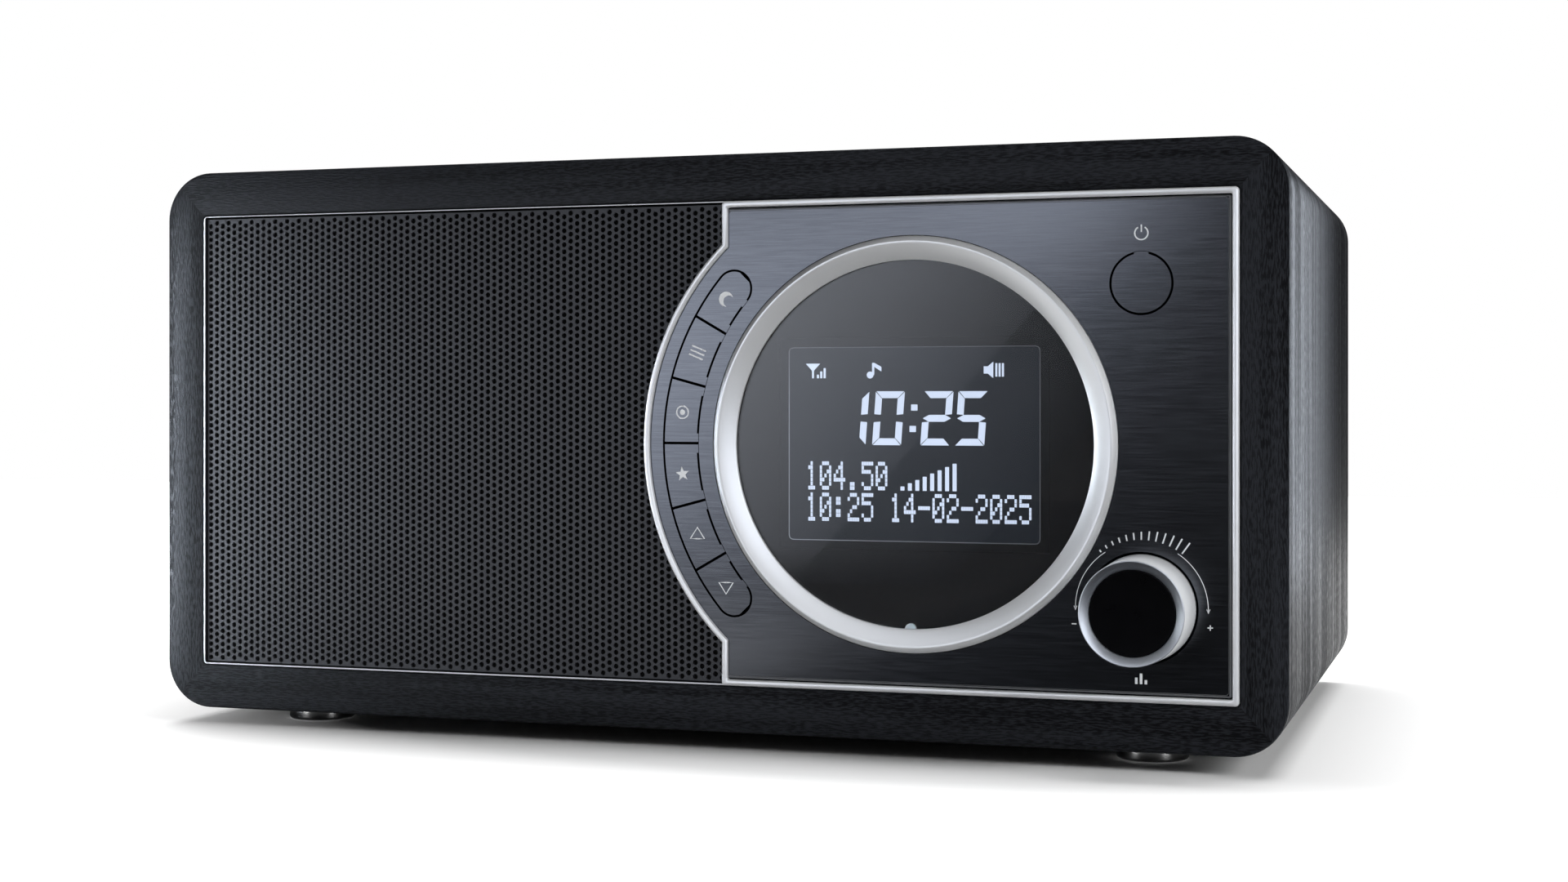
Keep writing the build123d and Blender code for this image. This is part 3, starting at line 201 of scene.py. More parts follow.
def black_veneer():
    """Open-grained wood under a black stain: long streaks, short pale dashes and a satin lacquer."""
    material = new_finish("black veneer", (0.006, 0.0065, 0.008), 0.5, Specular_IOR_Level=0.14)
    along = add_node(material, "UVMap", {}, uv_map="grain").outputs[0]
    streaks = noise(material, (7.0, 190.0, 1.0), 5.0, along)
    dashes = noise(material, (540.0, 3300.0, 1.0), 3.0, along)
    streak = ranged(material, streaks, 0.4, 0.6, 0.0, 1.0)
    dash = ranged(material, dashes, 0.44, 0.57, 0.0, 1.0)
    figure = ranged(material, combined(material, "ADD", streak, dash), 0.3, 1.7, 0.0, 1.0)
    stained = blended(material, figure, (0.0012, 0.0014, 0.0018), (0.017, 0.0187, 0.023))
    drive(material, "Base Color", stained)
    drive(material, "Roughness", ranged(material, figure, 0.0, 1.0, 0.66, 0.34))
    bumped(material, dash, 0.55, 0.06 * MM)
    return material


cabinet_low, cabinet_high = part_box("cabinet_shell")
bezel_low, bezel_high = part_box("front_bezel")
front = cabinet_low.y
back = cabinet_high.y
opening_low = bezel_low - Vector((OPENING_GAP, 0, OPENING_GAP))
opening_high = bezel_high + Vector((OPENING_GAP, 0, OPENING_GAP))
outer = rounded_points(cabinet_low, cabinet_high, CABINET_CORNER, CORNER_STEPS)
inner = rounded_points(opening_low, opening_high, OPENING_CORNER, CORNER_STEPS)
bm = framed(outer, inner, front, back)
ease_edges(bm, front, CABINET_EDGE, 3)
ease_edges(bm, back, CABINET_EDGE, 3)

core_x = cabinet_high.x - CABINET_CORNER
core_z = (cabinet_high.z - cabinet_low.z) / 2 - CABINET_CORNER
middle_z = (cabinet_high.z + cabinet_low.z) / 2
perimeter = 4 * (core_x + core_z) + math.tau * CABINET_CORNER


def round_the_wrap(point):
    """How far round the tube a point lies, from the left end of the underside, and how far in."""
    x = max(-core_x, min(core_x, point.x))
    z = max(-core_z, min(core_z, point.z - middle_z))
    outward = Vector((point.x - x, point.z - middle_z - z))
    turn = math.atan2(outward.x, -outward.y) % math.tau
    if turn > math.tau - TURN_SLACK:
        turn = 0.0
    straight = x + z + core_x + core_z
    if turn > math.pi - TURN_SLACK:
        straight = 4 * (core_x + core_z) - straight
    return CABINET_CORNER * turn + straight, CABINET_CORNER - outward.length


grain = bm.loops.layers.uv.new("grain")
for face in bm.faces:
    if abs(face.normal.y) > FLAT:
        middle = face.calc_center_median()
        upright = cabinet_high.x - abs(middle.x) < cabinet_high.z - middle_z - abs(middle.z - middle_z)
        for loop in face.loops:
            x, y, z = loop.vert.co
            loop[grain].uv = (z + 1.0, x) if upright else (x, z)
        continue
    places = [round_the_wrap(loop.vert.co) for loop in face.loops]
    furthest = max(place for place, inward in places)
    for loop, (place, inward) in zip(face.loops, places):
        if furthest - place > perimeter / 2:
            place += perimeter
        loop[grain].uv = (place, loop.vert.co.y - front - inward)
add_piece("veneered_cabinet", bm, "cabinet", "cabinet_wrap", [black_veneer()], "cabinet_shell")

# Feet
# Four moulded rubber feet, pushed into holes in the underside by a peg. The lower edge is rounded,
# and the side narrows a little to the top and is smooth enough to show a highlight.
FOOT_RADIUS = 7.1 * MM
FOOT_HEIGHT = 3.5 * MM
FOOT_EDGE = 0.6 * MM
FOOT_DRAFT = 0.33 * MM


def turned(profile, places, steps, axis=Vector((0, 1, 0))):
    """Round bodies: a profile of radius and height, spun once about an axis through each place."""
    bm = bmesh.new()
    side = axis.orthogonal().normalized()
    for place in places:
        verts = [bm.verts.new(place + side * radius + axis * height) for radius, height in profile]
        ends = verts + [bm.edges.new(pair) for pair in zip(verts, verts[1:])]
        bmesh.ops.spin(bm, geom=ends, cent=place, axis=axis, angle=math.tau, steps=steps, use_merge=True)
    bmesh.ops.remove_doubles(bm, verts=bm.verts, dist=TOUCH / 2)
    bmesh.ops.recalc_face_normals(bm, faces=bm.faces)
    return bm


def grained(material, cells, strength):
    """Gives a finish a fine grain."""
    bumped(material, noise(material, cells), strength, 0.02 * MM)
    return material


def moulded_rubber():
    """Black rubber with a faint bloom and a fine grain from the mould."""
    material = new_finish("moulded rubber", (0.012, 0.012, 0.013), 0.2, Specular_IOR_Level=0.9)
    bloom = noise(material, (60.0, 60.0, 120.0), 3.0)
    drive(material, "Base Color", blended(material, bloom, (0.006, 0.006, 0.007), (0.022, 0.022, 0.024)))
    drive(material, "Roughness", ranged(material, bloom, 0.3, 0.7, 0.12, 0.17))
    return grained(material, 4000.0, 0.05)


feet_low, feet_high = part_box("feet")
foot_profile = [(0, 0)]
for turn in (0, 0.4, 0.8, 1.2):
    curve = Vector((math.sin(turn) - 1, 1 - math.cos(turn))) * FOOT_EDGE
    foot_profile.append((FOOT_RADIUS + curve.x, curve.y))
foot_profile += [(FOOT_RADIUS, FOOT_EDGE), (FOOT_RADIUS - FOOT_DRAFT, FOOT_HEIGHT), (0, FOOT_HEIGHT)]
foot_x = (feet_low.x + FOOT_RADIUS, feet_high.x - FOOT_RADIUS)
foot_y = (feet_low.y + FOOT_RADIUS, feet_high.y - FOOT_RADIUS)
bm = turned(foot_profile, [Vector((x, y, 0)) for x in foot_x for y in foot_y], 48, Vector((0, 0, 1)))
rubber = moulded_rubber()
feet = add_piece("rubber_feet", bm, "cabinet", "foot_rubber", [rubber], "feet")

# Front bezel
# A thin bright frame, pressed from strip, that covers the cut edge of the opening. Its front edges
# are rolled over. Its inner wall is coloured near-black as painted shade for the gap at the grille.
BEZEL_WIDTH = 0.36 * MM
BEZEL_TOP = 0.24 * MM
BEZEL_EDGE = 0.08 * MM


def satin(name, colour, low, high, metallic=1.0, cells=90.0, detail=3.0, **values):
    """A surface with faint wiping marks, which roughen it from low to high."""
    material = new_finish(name, colour, low, Metallic=metallic, **values)
    drive(material, "Roughness", ranged(material, noise(material, cells, detail), 0.3, 0.7, low, high))
    return material


def bright_metal(*values):
    """Satin plated metal with a faint grain."""
    return grained(satin(*values), 900.0, 0.04)


bezel_corner = OPENING_CORNER - OPENING_GAP
inner_low = bezel_low + Vector((BEZEL_WIDTH, 0, BEZEL_WIDTH))
inner_high = bezel_high - Vector((BEZEL_WIDTH, 0, BEZEL_TOP))
outer = rounded_points(bezel_low, bezel_high, bezel_corner, CORNER_STEPS)
inner = rounded_points(inner_low, inner_high, bezel_corner - BEZEL_WIDTH, CORNER_STEPS)
bm = framed(outer, inner, bezel_low.y, bezel_high.y)
ease_edges(bm, bezel_low.y, BEZEL_EDGE, 3)
bezel_middle = (bezel_low + bezel_high) / 2
# Faces of the inner wall take the near-black finish, a painted shade for the gap in front of the grille.
for face in bm.faces:
    inward = bezel_middle - face.calc_center_median()
    if abs(face.normal.y) < 0.5 and face.normal.x * inward.x + face.normal.z * inward.z > 0:
        face.material_index = 1
bright_trim = bright_metal("bright trim", (0.62, 0.63, 0.65), 0.3, 0.38, 0.5)
painted_shade_wall = bright_metal("dark lining", (0.008, 0.008, 0.009), 0.5, 0.6, 0.0)
add_piece("rolled_bezel", bm, "cabinet", "bright_trim", [bright_trim, painted_shade_wall], "front_bezel")

# Panel trim
# A bright extruded band, bent round the control panel and its bulge, with rounded edges. It stands
# proud of the panel and hides the edge of the grille. Its bulge runs round the centre of the display.
TRIM_WIDTH = 1.2 * MM
TRIM_LAP = 0.6 * MM
TRIM_ARC = 55.6 * MM
TRIM_SHOULDER = 38.8 * MM
TRIM_CORNER = 0.8 * MM
TRIM_SUNK = 0.2 * MM
TRIM_EDGE = 0.5 * MM
TRIM_STEPS = 8
BULGE_STEPS = 96
trim_low, trim_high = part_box("panel_trim")
ring_low, ring_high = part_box("display_ring")
display = Vector(((ring_low.x + ring_high.x) / 2, front, (ring_low.z + ring_high.z) / 2))


def panel_points(inset, straight_inset, corner):
    """The outline of the control panel, inside the trim by one distance at the bulge and one elsewhere."""
    left, right = display.x - TRIM_SHOULDER + inset, trim_high.x - straight_inset
    bottom, top = trim_low.z + straight_inset, trim_high.z - straight_inset
    radius = TRIM_ARC - inset
    sweep = math.degrees(math.acos((TRIM_SHOULDER - inset) / radius))
    points = arc_points(right - corner, bottom + corner, corner, -90, 0, TRIM_STEPS)
    points += arc_points(right - corner, top - corner, corner, 0, 90, TRIM_STEPS)
    points += arc_points(left + corner, top - corner, corner, 90, 180, TRIM_STEPS)
    points += arc_points(display.x, display.z, radius, 180 - sweep, 180 + sweep, BULGE_STEPS)
    points += arc_points(left + corner, bottom + corner, corner, 180, 270, TRIM_STEPS)
    return points


outer = panel_points(0, -TRIM_LAP, TRIM_CORNER)
inner = panel_points(TRIM_WIDTH, TRIM_WIDTH - TRIM_LAP, TRIM_CORNER / 2)
bm = framed(outer, inner, trim_low.y, front + TRIM_SUNK)
ease_edges(bm, trim_low.y, TRIM_EDGE, 5)
satin_trim = bright_metal("satin trim", (0.88, 0.89, 0.91), 0.3, 0.38, 0.5)
add_piece("rounded_trim", bm, "cabinet", "bright_trim", [satin_trim], "panel_trim")

# Speaker grille
# Steel sheet, punched with small round holes in staggered columns and painted dark grey. It is pressed
# forward to just behind the bezel and runs under the trim. The holes are blind, and their feet are
# near-black as painted shade.
COLUMN_PITCH = 1.4375 * MM
ROW_PITCH = 1.437 * MM
HOLE_RADIUS = 0.56 * MM
HOLE_DEPTH = 0.7 * MM
GRILLE_MARGIN = 0.05 * MM
GRILLE_SPARE = 0.02 * MM
GRILLE_PRESSED = 0.9 * MM
GRILLE_UNDER = 0.9 * MM


def clouded(name, first, last, roughness, cells, **values):
    """A finish that drifts between two colours, with this many patches to the metre."""
    material = new_finish(name, first, roughness, **values)
    drive(material, "Base Color", blended(material, noise(material, cells), first, last))
    return material


sheet_low, sheet_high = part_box("speaker_grille")
sheet_front = sheet_low.y - GRILLE_PRESSED
grille_shoulder = display.x - TRIM_SHOULDER + GRILLE_UNDER
grille_arc = TRIM_ARC - GRILLE_UNDER
half_column, half_row = COLUMN_PITCH / 2, ROW_PITCH / 2
reach = math.hypot(half_column, half_row) + GRILLE_MARGIN


def has_hole(x, z):
    """Whether a whole hole and its share of the sheet fit at this place."""
    side, above = half_column + GRILLE_MARGIN, half_row + GRILLE_MARGIN
    if x - side < sheet_low.x or x + side > grille_shoulder:
        return False
    if z - above < sheet_low.z or z + above > sheet_high.z:
        return False
    return math.hypot(x - display.x, z - display.z) - reach > grille_arc


strip = bmesh.new()
border = [(-half_column, -half_row), (half_column, -half_row), (half_column, 0), (half_column, half_row),
          (-half_column, half_row), (-half_column, 0)]
rim = closed_loop(strip, border, sheet_front)
hole = closed_loop(strip, arc_points(0, 0, HOLE_RADIUS, 22.5, 337.5, 7), sheet_front)
bmesh.ops.triangle_fill(strip, edges=rim + hole, use_beauty=True, normal=(0, -1, 0))
foot = pushed(strip, bmesh.ops.extrude_edge_only(strip, edges=hole), HOLE_DEPTH)
# The foot of each blind hole takes the near-black finish: painted shade for the dark space behind the
# sheet.
for face in bmesh.ops.edgeloop_fill(strip, edges=foot)["faces"]:
    face.material_index = 1
columns = int((grille_shoulder - sheet_low.x) / COLUMN_PITCH)
rows = int((sheet_high.z - sheet_low.z) / ROW_PITCH) + 1
bmesh.ops.spin(
    strip, geom=strip.verts[:] + strip.edges[:] + strip.faces[:], cent=(0, 0, 0), axis=(0, 0, 1),
    dvec=(0, 0, ROW_PITCH), angle=0, steps=rows, use_duplicate=True
)
bm = bmesh.new()
for column in range(columns):
    x = sheet_low.x + GRILLE_MARGIN + GRILLE_SPARE + COLUMN_PITCH * (column + 0.5)
    low = sheet_low.z + GRILLE_MARGIN + GRILLE_SPARE + ROW_PITCH * (0.5 + (column % 2) / 2)
    copy = strip.copy()
    levels = {face: round(face.calc_center_median().z / ROW_PITCH) for face in copy.faces}
    spare = [face for face, level in levels.items() if not has_hole(x, low + level * ROW_PITCH)]
    bmesh.ops.delete(copy, geom=spare, context="FACES")
    bmesh.ops.translate(copy, vec=(x, 0, low), verts=copy.verts)
    mesh = bpy.data.meshes.new("holes")
    copy.to_mesh(mesh)
    copy.free()
    bm.from_mesh(mesh)
    bpy.data.meshes.remove(mesh)
strip.free()
bmesh.ops.remove_doubles(bm, verts=bm.verts, dist=10 * TOUCH)
sweep = math.degrees(math.acos((TRIM_SHOULDER - GRILLE_UNDER) / grille_arc))
outline = [(sheet_low.x, sheet_low.z), (grille_shoulder, sheet_low.z)]
outline += arc_points(display.x, display.z, grille_arc, 180 + sweep, 180 - sweep, 72)
outline += [(grille_shoulder, sheet_high.z), (sheet_low.x, sheet_high.z)]
ragged = [edge for edge in bm.edges if edge.is_boundary]
edge_loop = closed_loop(bm, outline, sheet_front)
bmesh.ops.triangle_fill(bm, edges=ragged + edge_loop, use_beauty=True, normal=(0, -1, 0))
rear_edges = pushed(bm, bmesh.ops.extrude_edge_only(bm, edges=edge_loop), sheet_high.y - sheet_front)
bmesh.ops.triangle_fill(bm, edges=rear_edges, use_beauty=True, normal=(0, 1, 0))
paint = satin("painted steel", (0.041, 0.0427, 0.049), 0.4, 0.52, 0.0, 70.0, 2.0, Specular_IOR_Level=0.24)
paint = grained(paint, 2500.0, 0.1)
# Near-black for the feet of the holes, as painted shade, and for the black cloth flags of the studio.
cloth_and_shade_dark, cloth_and_shade_light = (0.002, 0.002, 0.002), (0.008, 0.008, 0.008)
flag_cloth_and_hole_shade = clouded("black cloth", cloth_and_shade_dark, cloth_and_shade_light, 0.9, 3000.0, Specular_IOR_Level=0.1)
add_piece("punched_grille", bm, "cabinet", "grille_paint", [paint, flag_cloth_and_hole_shade], "speaker_grille")

# Control panel, keys and mode button
# One aluminium plate, brushed from side to side and anodised dark. The keys and the button are cut
# out of the same plate, so the brushing runs on across the slots. The outer edge has a cut bevel.
KEYS = ("sleep_key", "menu_key", "enter_key", "preset_key", "up_key", "down_key")
RIM_INSET = 0.8 * MM
RIM_WIDTH = 0.9 * MM
RIM_CUT = 0.4 * MM
RIM_PROUD = 0.01 * MM
RIM_DEPTH = 0.5 * MM
RIM_BULGE_OUTER = 0.8 * TRIM_WIDTH
RIM_BULGE_INNER = 0.95 * TRIM_WIDTH


def brushed_aluminium():
    """Dark anodised aluminium with fine lines along its width. Side faces, as in the slots, are painted
    shade.
    """
    material = new_finish("brushed aluminium", (0.085, 0.09, 0.1), 0.21, Metallic=1.0)
    lines = noise(material, (170.0, 170.0, 8000.0), 1.0)
    share = ranged(material, lines, 0.3, 0.7, 0.0, 1.0)
    face = blended(material, share, (0.09, 0.094, 0.105), (0.13, 0.136, 0.149))
    # Faces that don't face the front, such as the walls of the slots, turn near-black: painted shade.
    normal = add_node(material, "NewGeometry", {}).outputs["Normal"]
    across = add_node(material, "SeparateXYZ", {0: normal}).outputs["Y"]
    flat = ranged(material, combined(material, "ABSOLUTE", across), 0.4, 0.65, 0.0, 1.0)
    drive(material, "Base Color", blended(material, flat, (0.006, 0.006, 0.007), face))
    drive(material, "Roughness", ranged(material, lines, 0.3, 0.7, 0.19, 0.24))
    bumped(material, lines, 0.06, 0.01 * MM)
    return material


brushed = brushed_aluminium()
for name in ("control_panel", "mode_button") + KEYS:
    nodes[name].material_slots[0].material = brushed
outer = panel_points(RIM_BULGE_OUTER, RIM_INSET, TRIM_CORNER / 2)
inner = panel_points(RIM_BULGE_INNER, RIM_INSET + RIM_WIDTH, TRIM_CORNER / 4)
bm = framed(outer, inner, front - RIM_PROUD, front + RIM_DEPTH)
ease_edges(bm, front - RIM_PROUD, RIM_CUT, 1)
for face in bm.faces:
    if 0.3 < abs(face.normal.y) < FLAT:
        face.material_index = 1
bare_edge = bright_metal("bare edge", (0.2, 0.205, 0.215), 0.4, 0.5, 0.3)
add_piece("panel_rim", bm, "cabinet", "brushed_panel", [brushed, bare_edge])

# Display ring
# A turned aluminium ring, pressed into the panel from the front. A narrow bevel faces out, and the
# wide face slopes in to the window. The profile gives radius and depth in millimetres.
RING_PROFILE = (
    (40.75, 2.0), (40.75, 0.02), (40.6, -0.2), (39.9, -1.02), (39.72, -1.16), (39.5, -1.18), (39.2, -1.09),
    (36.3, 0.2), (36.1, 0.36), (36.1, 1.0), (38.2, 1.0), (38.2, 2.0), (40.75, 2.0),
)


def metres(profile):
    """A profile that is written in millimetres."""
    return [(radius * MM, depth * MM) for radius, depth in profile]


def vector_math(material, operation, *values):
    """A vector that is worked out from others, or the length of one."""
    made = add_node(material, "VectorMath", dict(enumerate(values)), operation=operation)
    return made.outputs["Value" if operation == "LENGTH" else "Vector"]


def turning_lines(material, distance, low, high, strength):
    """The fine lines of a lathe, set out along a distance, which roughen a metal from low to high."""
    inputs = {"W": distance, "Scale": 9000.0, "Detail": 2.0}
    lines = add_node(material, "TexNoise", inputs, noise_dimensions="1D").outputs[0]
    drive(material, "Roughness", ranged(material, lines, 0.3, 0.7, low, high))
    bumped(material, lines, strength, 0.01 * MM)


def spun_aluminium():
    """Bright satin aluminium with faint turning lines round its axis."""
    material = new_finish("spun aluminium", (0.84, 0.85, 0.86), 0.34, Metallic=0.55)
    offset = vector_math(material, "SUBTRACT", object_space(material), display)
    flat = vector_math(material, "MULTIPLY", offset, (1.0, 0.0, 1.0))
    turning_lines(material, vector_math(material, "LENGTH", flat), 0.3, 0.38, 0.05)
    return material


bm = turned(metres(RING_PROFILE), [display], 192)
add_piece("turned_ring", bm, "cabinet", "satin_ring", [spun_aluminium()], "display_ring")

# Display window
# A disc of smoked acrylic, clipped behind the ring. Its edges are broken, and its back stays clear of
# the plate behind it.
WINDOW_GAP = 0.12 * MM
WINDOW_EDGE = 0.1 * MM
window_low, window_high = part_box("display_window")
window_radius = (window_high.x - window_low.x) / 2
window_flat = window_radius - WINDOW_EDGE
window_front, window_back = window_low.y - front, window_high.y - front - WINDOW_GAP
profile = [(0, window_front), (window_flat, window_front), (window_radius, window_front + WINDOW_EDGE)]
profile += [(window_radius, window_back - WINDOW_EDGE), (window_flat, window_back), (0, window_back)]
bm = turned(profile, [display], 128)
acrylic = satin(
    "smoked acrylic", (0.62, 0.63, 0.65), 0.0, 0.03, 0.0, 60.0, Transmission_Weight=0.98, IOR=1.49
)
add_piece("smoked_window", bm, "cabinet", "tinted_window", [acrylic], "display_window")

# Status light
# A small half-round light pipe of frosted plastic, moulded in one piece and pushed in at the foot of
# the window. It is off.
milky, clear = (0.78, 0.79, 0.8), (0.6, 0.61, 0.63)
frosted = clouded("frosted plastic", clear, milky, 0.35, 900.0, Subsurface_Weight=0.4)
nodes["status_light"].material_slots[0].material = frosted

# Liquid crystal display
# A glass cell with a black mask, lit from behind. The lit segments show a clock, plain numbers and
# small symbols, and a fine line marks the edge of the viewing area. Drawings are in millimetres.
LCD_WIDTH = 50.9 * MM
LCD_HEIGHT = 38.3 * MM
LCD_CORNER = 1.0 * MM
LINE_WIDTH = 0.13 * MM
INK_DEPTH = 0.04 * MM
DIGIT_WIDTH = 5.9
DIGIT_HEIGHT = 10.6
DIGIT_DROP = 0.2
SEGMENT = 1.35
SEGMENT_GAP = 0.12
SLANT = 0.075
CLOCK = ((-15.45, "1"), (-8.2, "0"), (1.6, "2"), (8.5, "5"))
SEGMENTS = {"0": "abcdef", "1": "bc", "2": "abged", "5": "afgcd"}
COLON_LEFT = -0.75
COLON_HEIGHTS = (2.4, 6.6)
DOT_ROWS = ((-9.1, "104.50"), (-15.3, "10:25 14-02-2025"))
TEXT_LEFT = -21.86
LETTER_PITCH = 2.88
DOT_WIDTH = 0.48
DOT_HEIGHT = 0.81
LIT_WIDTH = 0.94 * DOT_WIDTH
LIT_HEIGHT = 0.92 * DOT_HEIGHT
# Each letter is seven rows of five dots, from the top, with the dots of a row as a binary number.
DOTS = {
    "0": (14, 17, 19, 21, 25, 17, 14), "1": (4, 12, 4, 4, 4, 4, 14), "2": (14, 17, 1, 6, 8, 16, 31),
    "4": (2, 6, 10, 18, 31, 2, 2), "5": (31, 16, 30, 1, 1, 17, 14), ":": (0, 12, 12, 0, 12, 12, 0),
    ".": (0, 0, 0, 0, 0, 12, 12), "-": (0, 0, 0, 31, 0, 0, 0), " ": (0, 0, 0, 0, 0, 0, 0),
}


def glowing(name, colour, roughness, light, cells, low, high, **values):
    """A surface that gives off light, a little unevenly, as the backlight is uneven."""
    material = new_finish(name, colour, roughness, Emission_Color=(*light, 1.0), **values)
    drive(material, "Emission Strength", ranged(material, noise(material, cells), 0.3, 0.7, low, high))
    return material


def painted_highlight_line():
    """A glowing line at the edge of the viewing area, a painted highlight: bright at the left, fading right
    and up.
    """
    material = new_finish("display edge", (0.3, 0.31, 0.33), 0.3, Emission_Color=(0.75, 0.8, 0.9, 1.0))
    axes = add_node(material, "SeparateXYZ", {0: object_space(material)}).outputs
    fade = ranged(material, axes["X"], 0.02, 0.075, 0.5, 0.1)
    rise = ranged(material, axes["Z"], display.z + 0.4 * corner.z, display.z + corner.z, 1.0, 0.2)
    drive(material, "Emission Strength", combined(material, "MULTIPLY", fade, rise))
    return material


def stamped(outlines, depth, thickness):
    """Thin closed plates with these outlines in the front view, whose fronts lie at a depth."""
    bm = bmesh.new()
    for points in outlines:
        face = bm.faces.new([bm.verts.new((x, depth, z)) for x, z in points])
        pushed(bm, bmesh.ops.extrude_face_region(bm, geom=[face]), thickness)
    return bm


def placed(points, x, z, turn=0.0):
    """Points of a small drawing, in millimetres, turned in degrees and put at a place."""
    cos, sin = math.cos(math.radians(turn)), math.sin(math.radians(turn))
    return [(x + MM * (px * cos - pz * sin), z + MM * (px * sin + pz * cos)) for px, pz in points]


def box_points(left, bottom, right, top):
    """The corners of an upright rectangle."""
    return [(left, bottom), (right, bottom), (right, top), (left, top)]


def bars(count, left, bottom, width, pitch, height, growth=0.0):
    """A row of upright bars, each higher than the last by the growth."""
    places = [(left + pitch * index, bottom + height + growth * index) for index in range(count)]
    return [box_points(x, bottom, x + width, top) for x, top in places]


def segment_points(letter):
    """One bar of a seven-segment digit, with pointed ends, from the digit's lower left corner."""
    half, thick, gap = DIGIT_HEIGHT / 2, SEGMENT, SEGMENT_GAP
    far, end = DIGIT_WIDTH - thick, DIGIT_WIDTH - gap
    if letter == "g":
        low, high = half - thick / 2, half + thick / 2
        return [(gap, half), (thick, high), (far, high), (end, half), (far, low), (thick, low)]
    points = [(0, gap), (0, half - gap - thick / 2), (thick, half - thick / 2), (thick, gap + thick)]
    if letter in "ad":
        points = [(thick, thick), (far, thick), (end, 0), (gap, 0)]
    if letter in "abf":
        points = [(x, DIGIT_HEIGHT - z) for x, z in points]
    if letter in "bc":
        points = [(DIGIT_WIDTH - x, z) for x, z in points]
    return points


lcd_low, lcd_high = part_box("lcd_panel")
ink_front = lcd_low.y - INK_DEPTH
mask, haze = (0.0035, 0.0045, 0.0062), (0.0046, 0.0057, 0.0078)
glass = clouded("dark glass", mask, haze, 0.5, 200.0, Specular_IOR_Level=0.0)
for name in ("lcd_panel", "lcd_holder", "front_baffle"):
    nodes[name].material_slots[0].material = glass
corner = Vector((LCD_WIDTH / 2, 0, LCD_HEIGHT / 2))
field = rounded_points(display - corner, display + corner, LCD_CORNER, 6)
bm = stamped([field], lcd_low.y - INK_DEPTH / 2, INK_DEPTH / 2)
leak = glowing(
    "backlit field", (0.004, 0.005, 0.007), 0.5, (0.55, 0.72, 1.0), 30.0, 0.02, 0.03, Specular_IOR_Level=0.0
)
add_piece("display_field", bm, "cabinet", "display_glass", [leak])

drawings = []
for left, digit in CLOCK:
    for letter in SEGMENTS[digit]:
        drawings.append([(left + x + SLANT * z, z - DIGIT_DROP) for x, z in segment_points(letter)])
for height in COLON_HEIGHTS:
    left = COLON_LEFT + SLANT * height
    drawings.append(box_points(left, height, left + 1.3, height + 1.2))
for bottom, text in DOT_ROWS:
    for index, letter in enumerate(text):
        for row, bits in enumerate(reversed(DOTS[letter])):
            for column in range(5):
                if bits & 16 >> column:
                    x = TEXT_LEFT + index * LETTER_PITCH + column * DOT_WIDTH
                    z = bottom + row * DOT_HEIGHT
                    drawings.append(box_points(x, z, x + LIT_WIDTH, z + LIT_HEIGHT))
mast = [box_points(-20.6, 13.0, -20.2, 15.9), [(-21.9, 15.9), (-20.4, 14.3), (-18.9, 15.9)]]
tone = [box_points(-8.2, 13.6, -7.75, 16.0), arc_points(-8.6, 13.6, 0.7, 0, 330, 11)]
tone += [[(-7.75, 16.0), (-6.3, 15.2), (-6.3, 14.3), (-7.75, 15.2)]]
horn = [box_points(14.3, 13.8, 15.1, 15.2), [(15.1, 13.8), (15.1, 15.2), (16.2, 16.1), (16.2, 12.9)]]
drawings += bars(8, -2.4, -9.1, 0.8, 1.5, 0.8, 0.65)
drawings += mast + bars(3, -19.6, 13.0, 0.45, 0.7, 0.7, 0.65)
drawings += tone + horn + bars(3, 16.6, 13.2, 0.4, 0.65, 2.6)
bm = stamped([placed(drawing, display.x, display.z) for drawing in drawings], ink_front, INK_DEPTH)
lit = glowing("lit segment", (0.02, 0.02, 0.02), 0.4, (0.72, 0.82, 1.0), 45.0, 1.5, 1.7)
add_piece("lit_segments", bm, "cabinet", "light_pipe", [lit])

# The fine line at the edge of the viewing area glows as a painted highlight, brightest at its left.
line = Vector((LINE_WIDTH, 0, LINE_WIDTH))
inner = rounded_points(display - corner + line, display + corner - line, LCD_CORNER - LINE_WIDTH, 6)
bm = framed(field, inner, ink_front, lcd_low.y)
add_piece("display_edge", bm, "cabinet", "light_pipe", [painted_highlight_line()])

# Printed symbols
# White ink on the panel and the keys, laid down as thin as a screen print. They are generic symbols:
# moon, lines, dot in a ring, star, two arrows, power, loudness scale with its signs, and tone bars.
PRINT_DEPTH = 0.03 * MM
LABEL_RADIUS = 47.8 * MM
POWER_HEIGHT = 101.7 * MM
SIGN_HEIGHT = 27.5 * MM
MINUS_PLACE = 79.8 * MM
PLUS_PLACE = 105.5 * MM
TONE_HEIGHT = 17.5 * MM
THIN_LINE = 0.13
BOLD_LINE = 0.26
TURN_RADIUS = 12.55
SCALE_RADIUS = 13.0
SCALE_START = 126
SCALE_STEP = 6


def stroke(points, width):
    """A line of some width along points, as one closed outline."""
    sides = ([], [])
    for index, (x, z) in enumerate(points):
        before, after = points[max(index - 1, 0)], points[min(index + 1, len(points) - 1)]
        along = Vector((after[0] - before[0], after[1] - before[1])).normalized() * width / 2
        sides[0].append((x - along.y, z + along.x))
        sides[1].append((x + along.y, z - along.x))
    return sides[0] + sides[1][::-1]


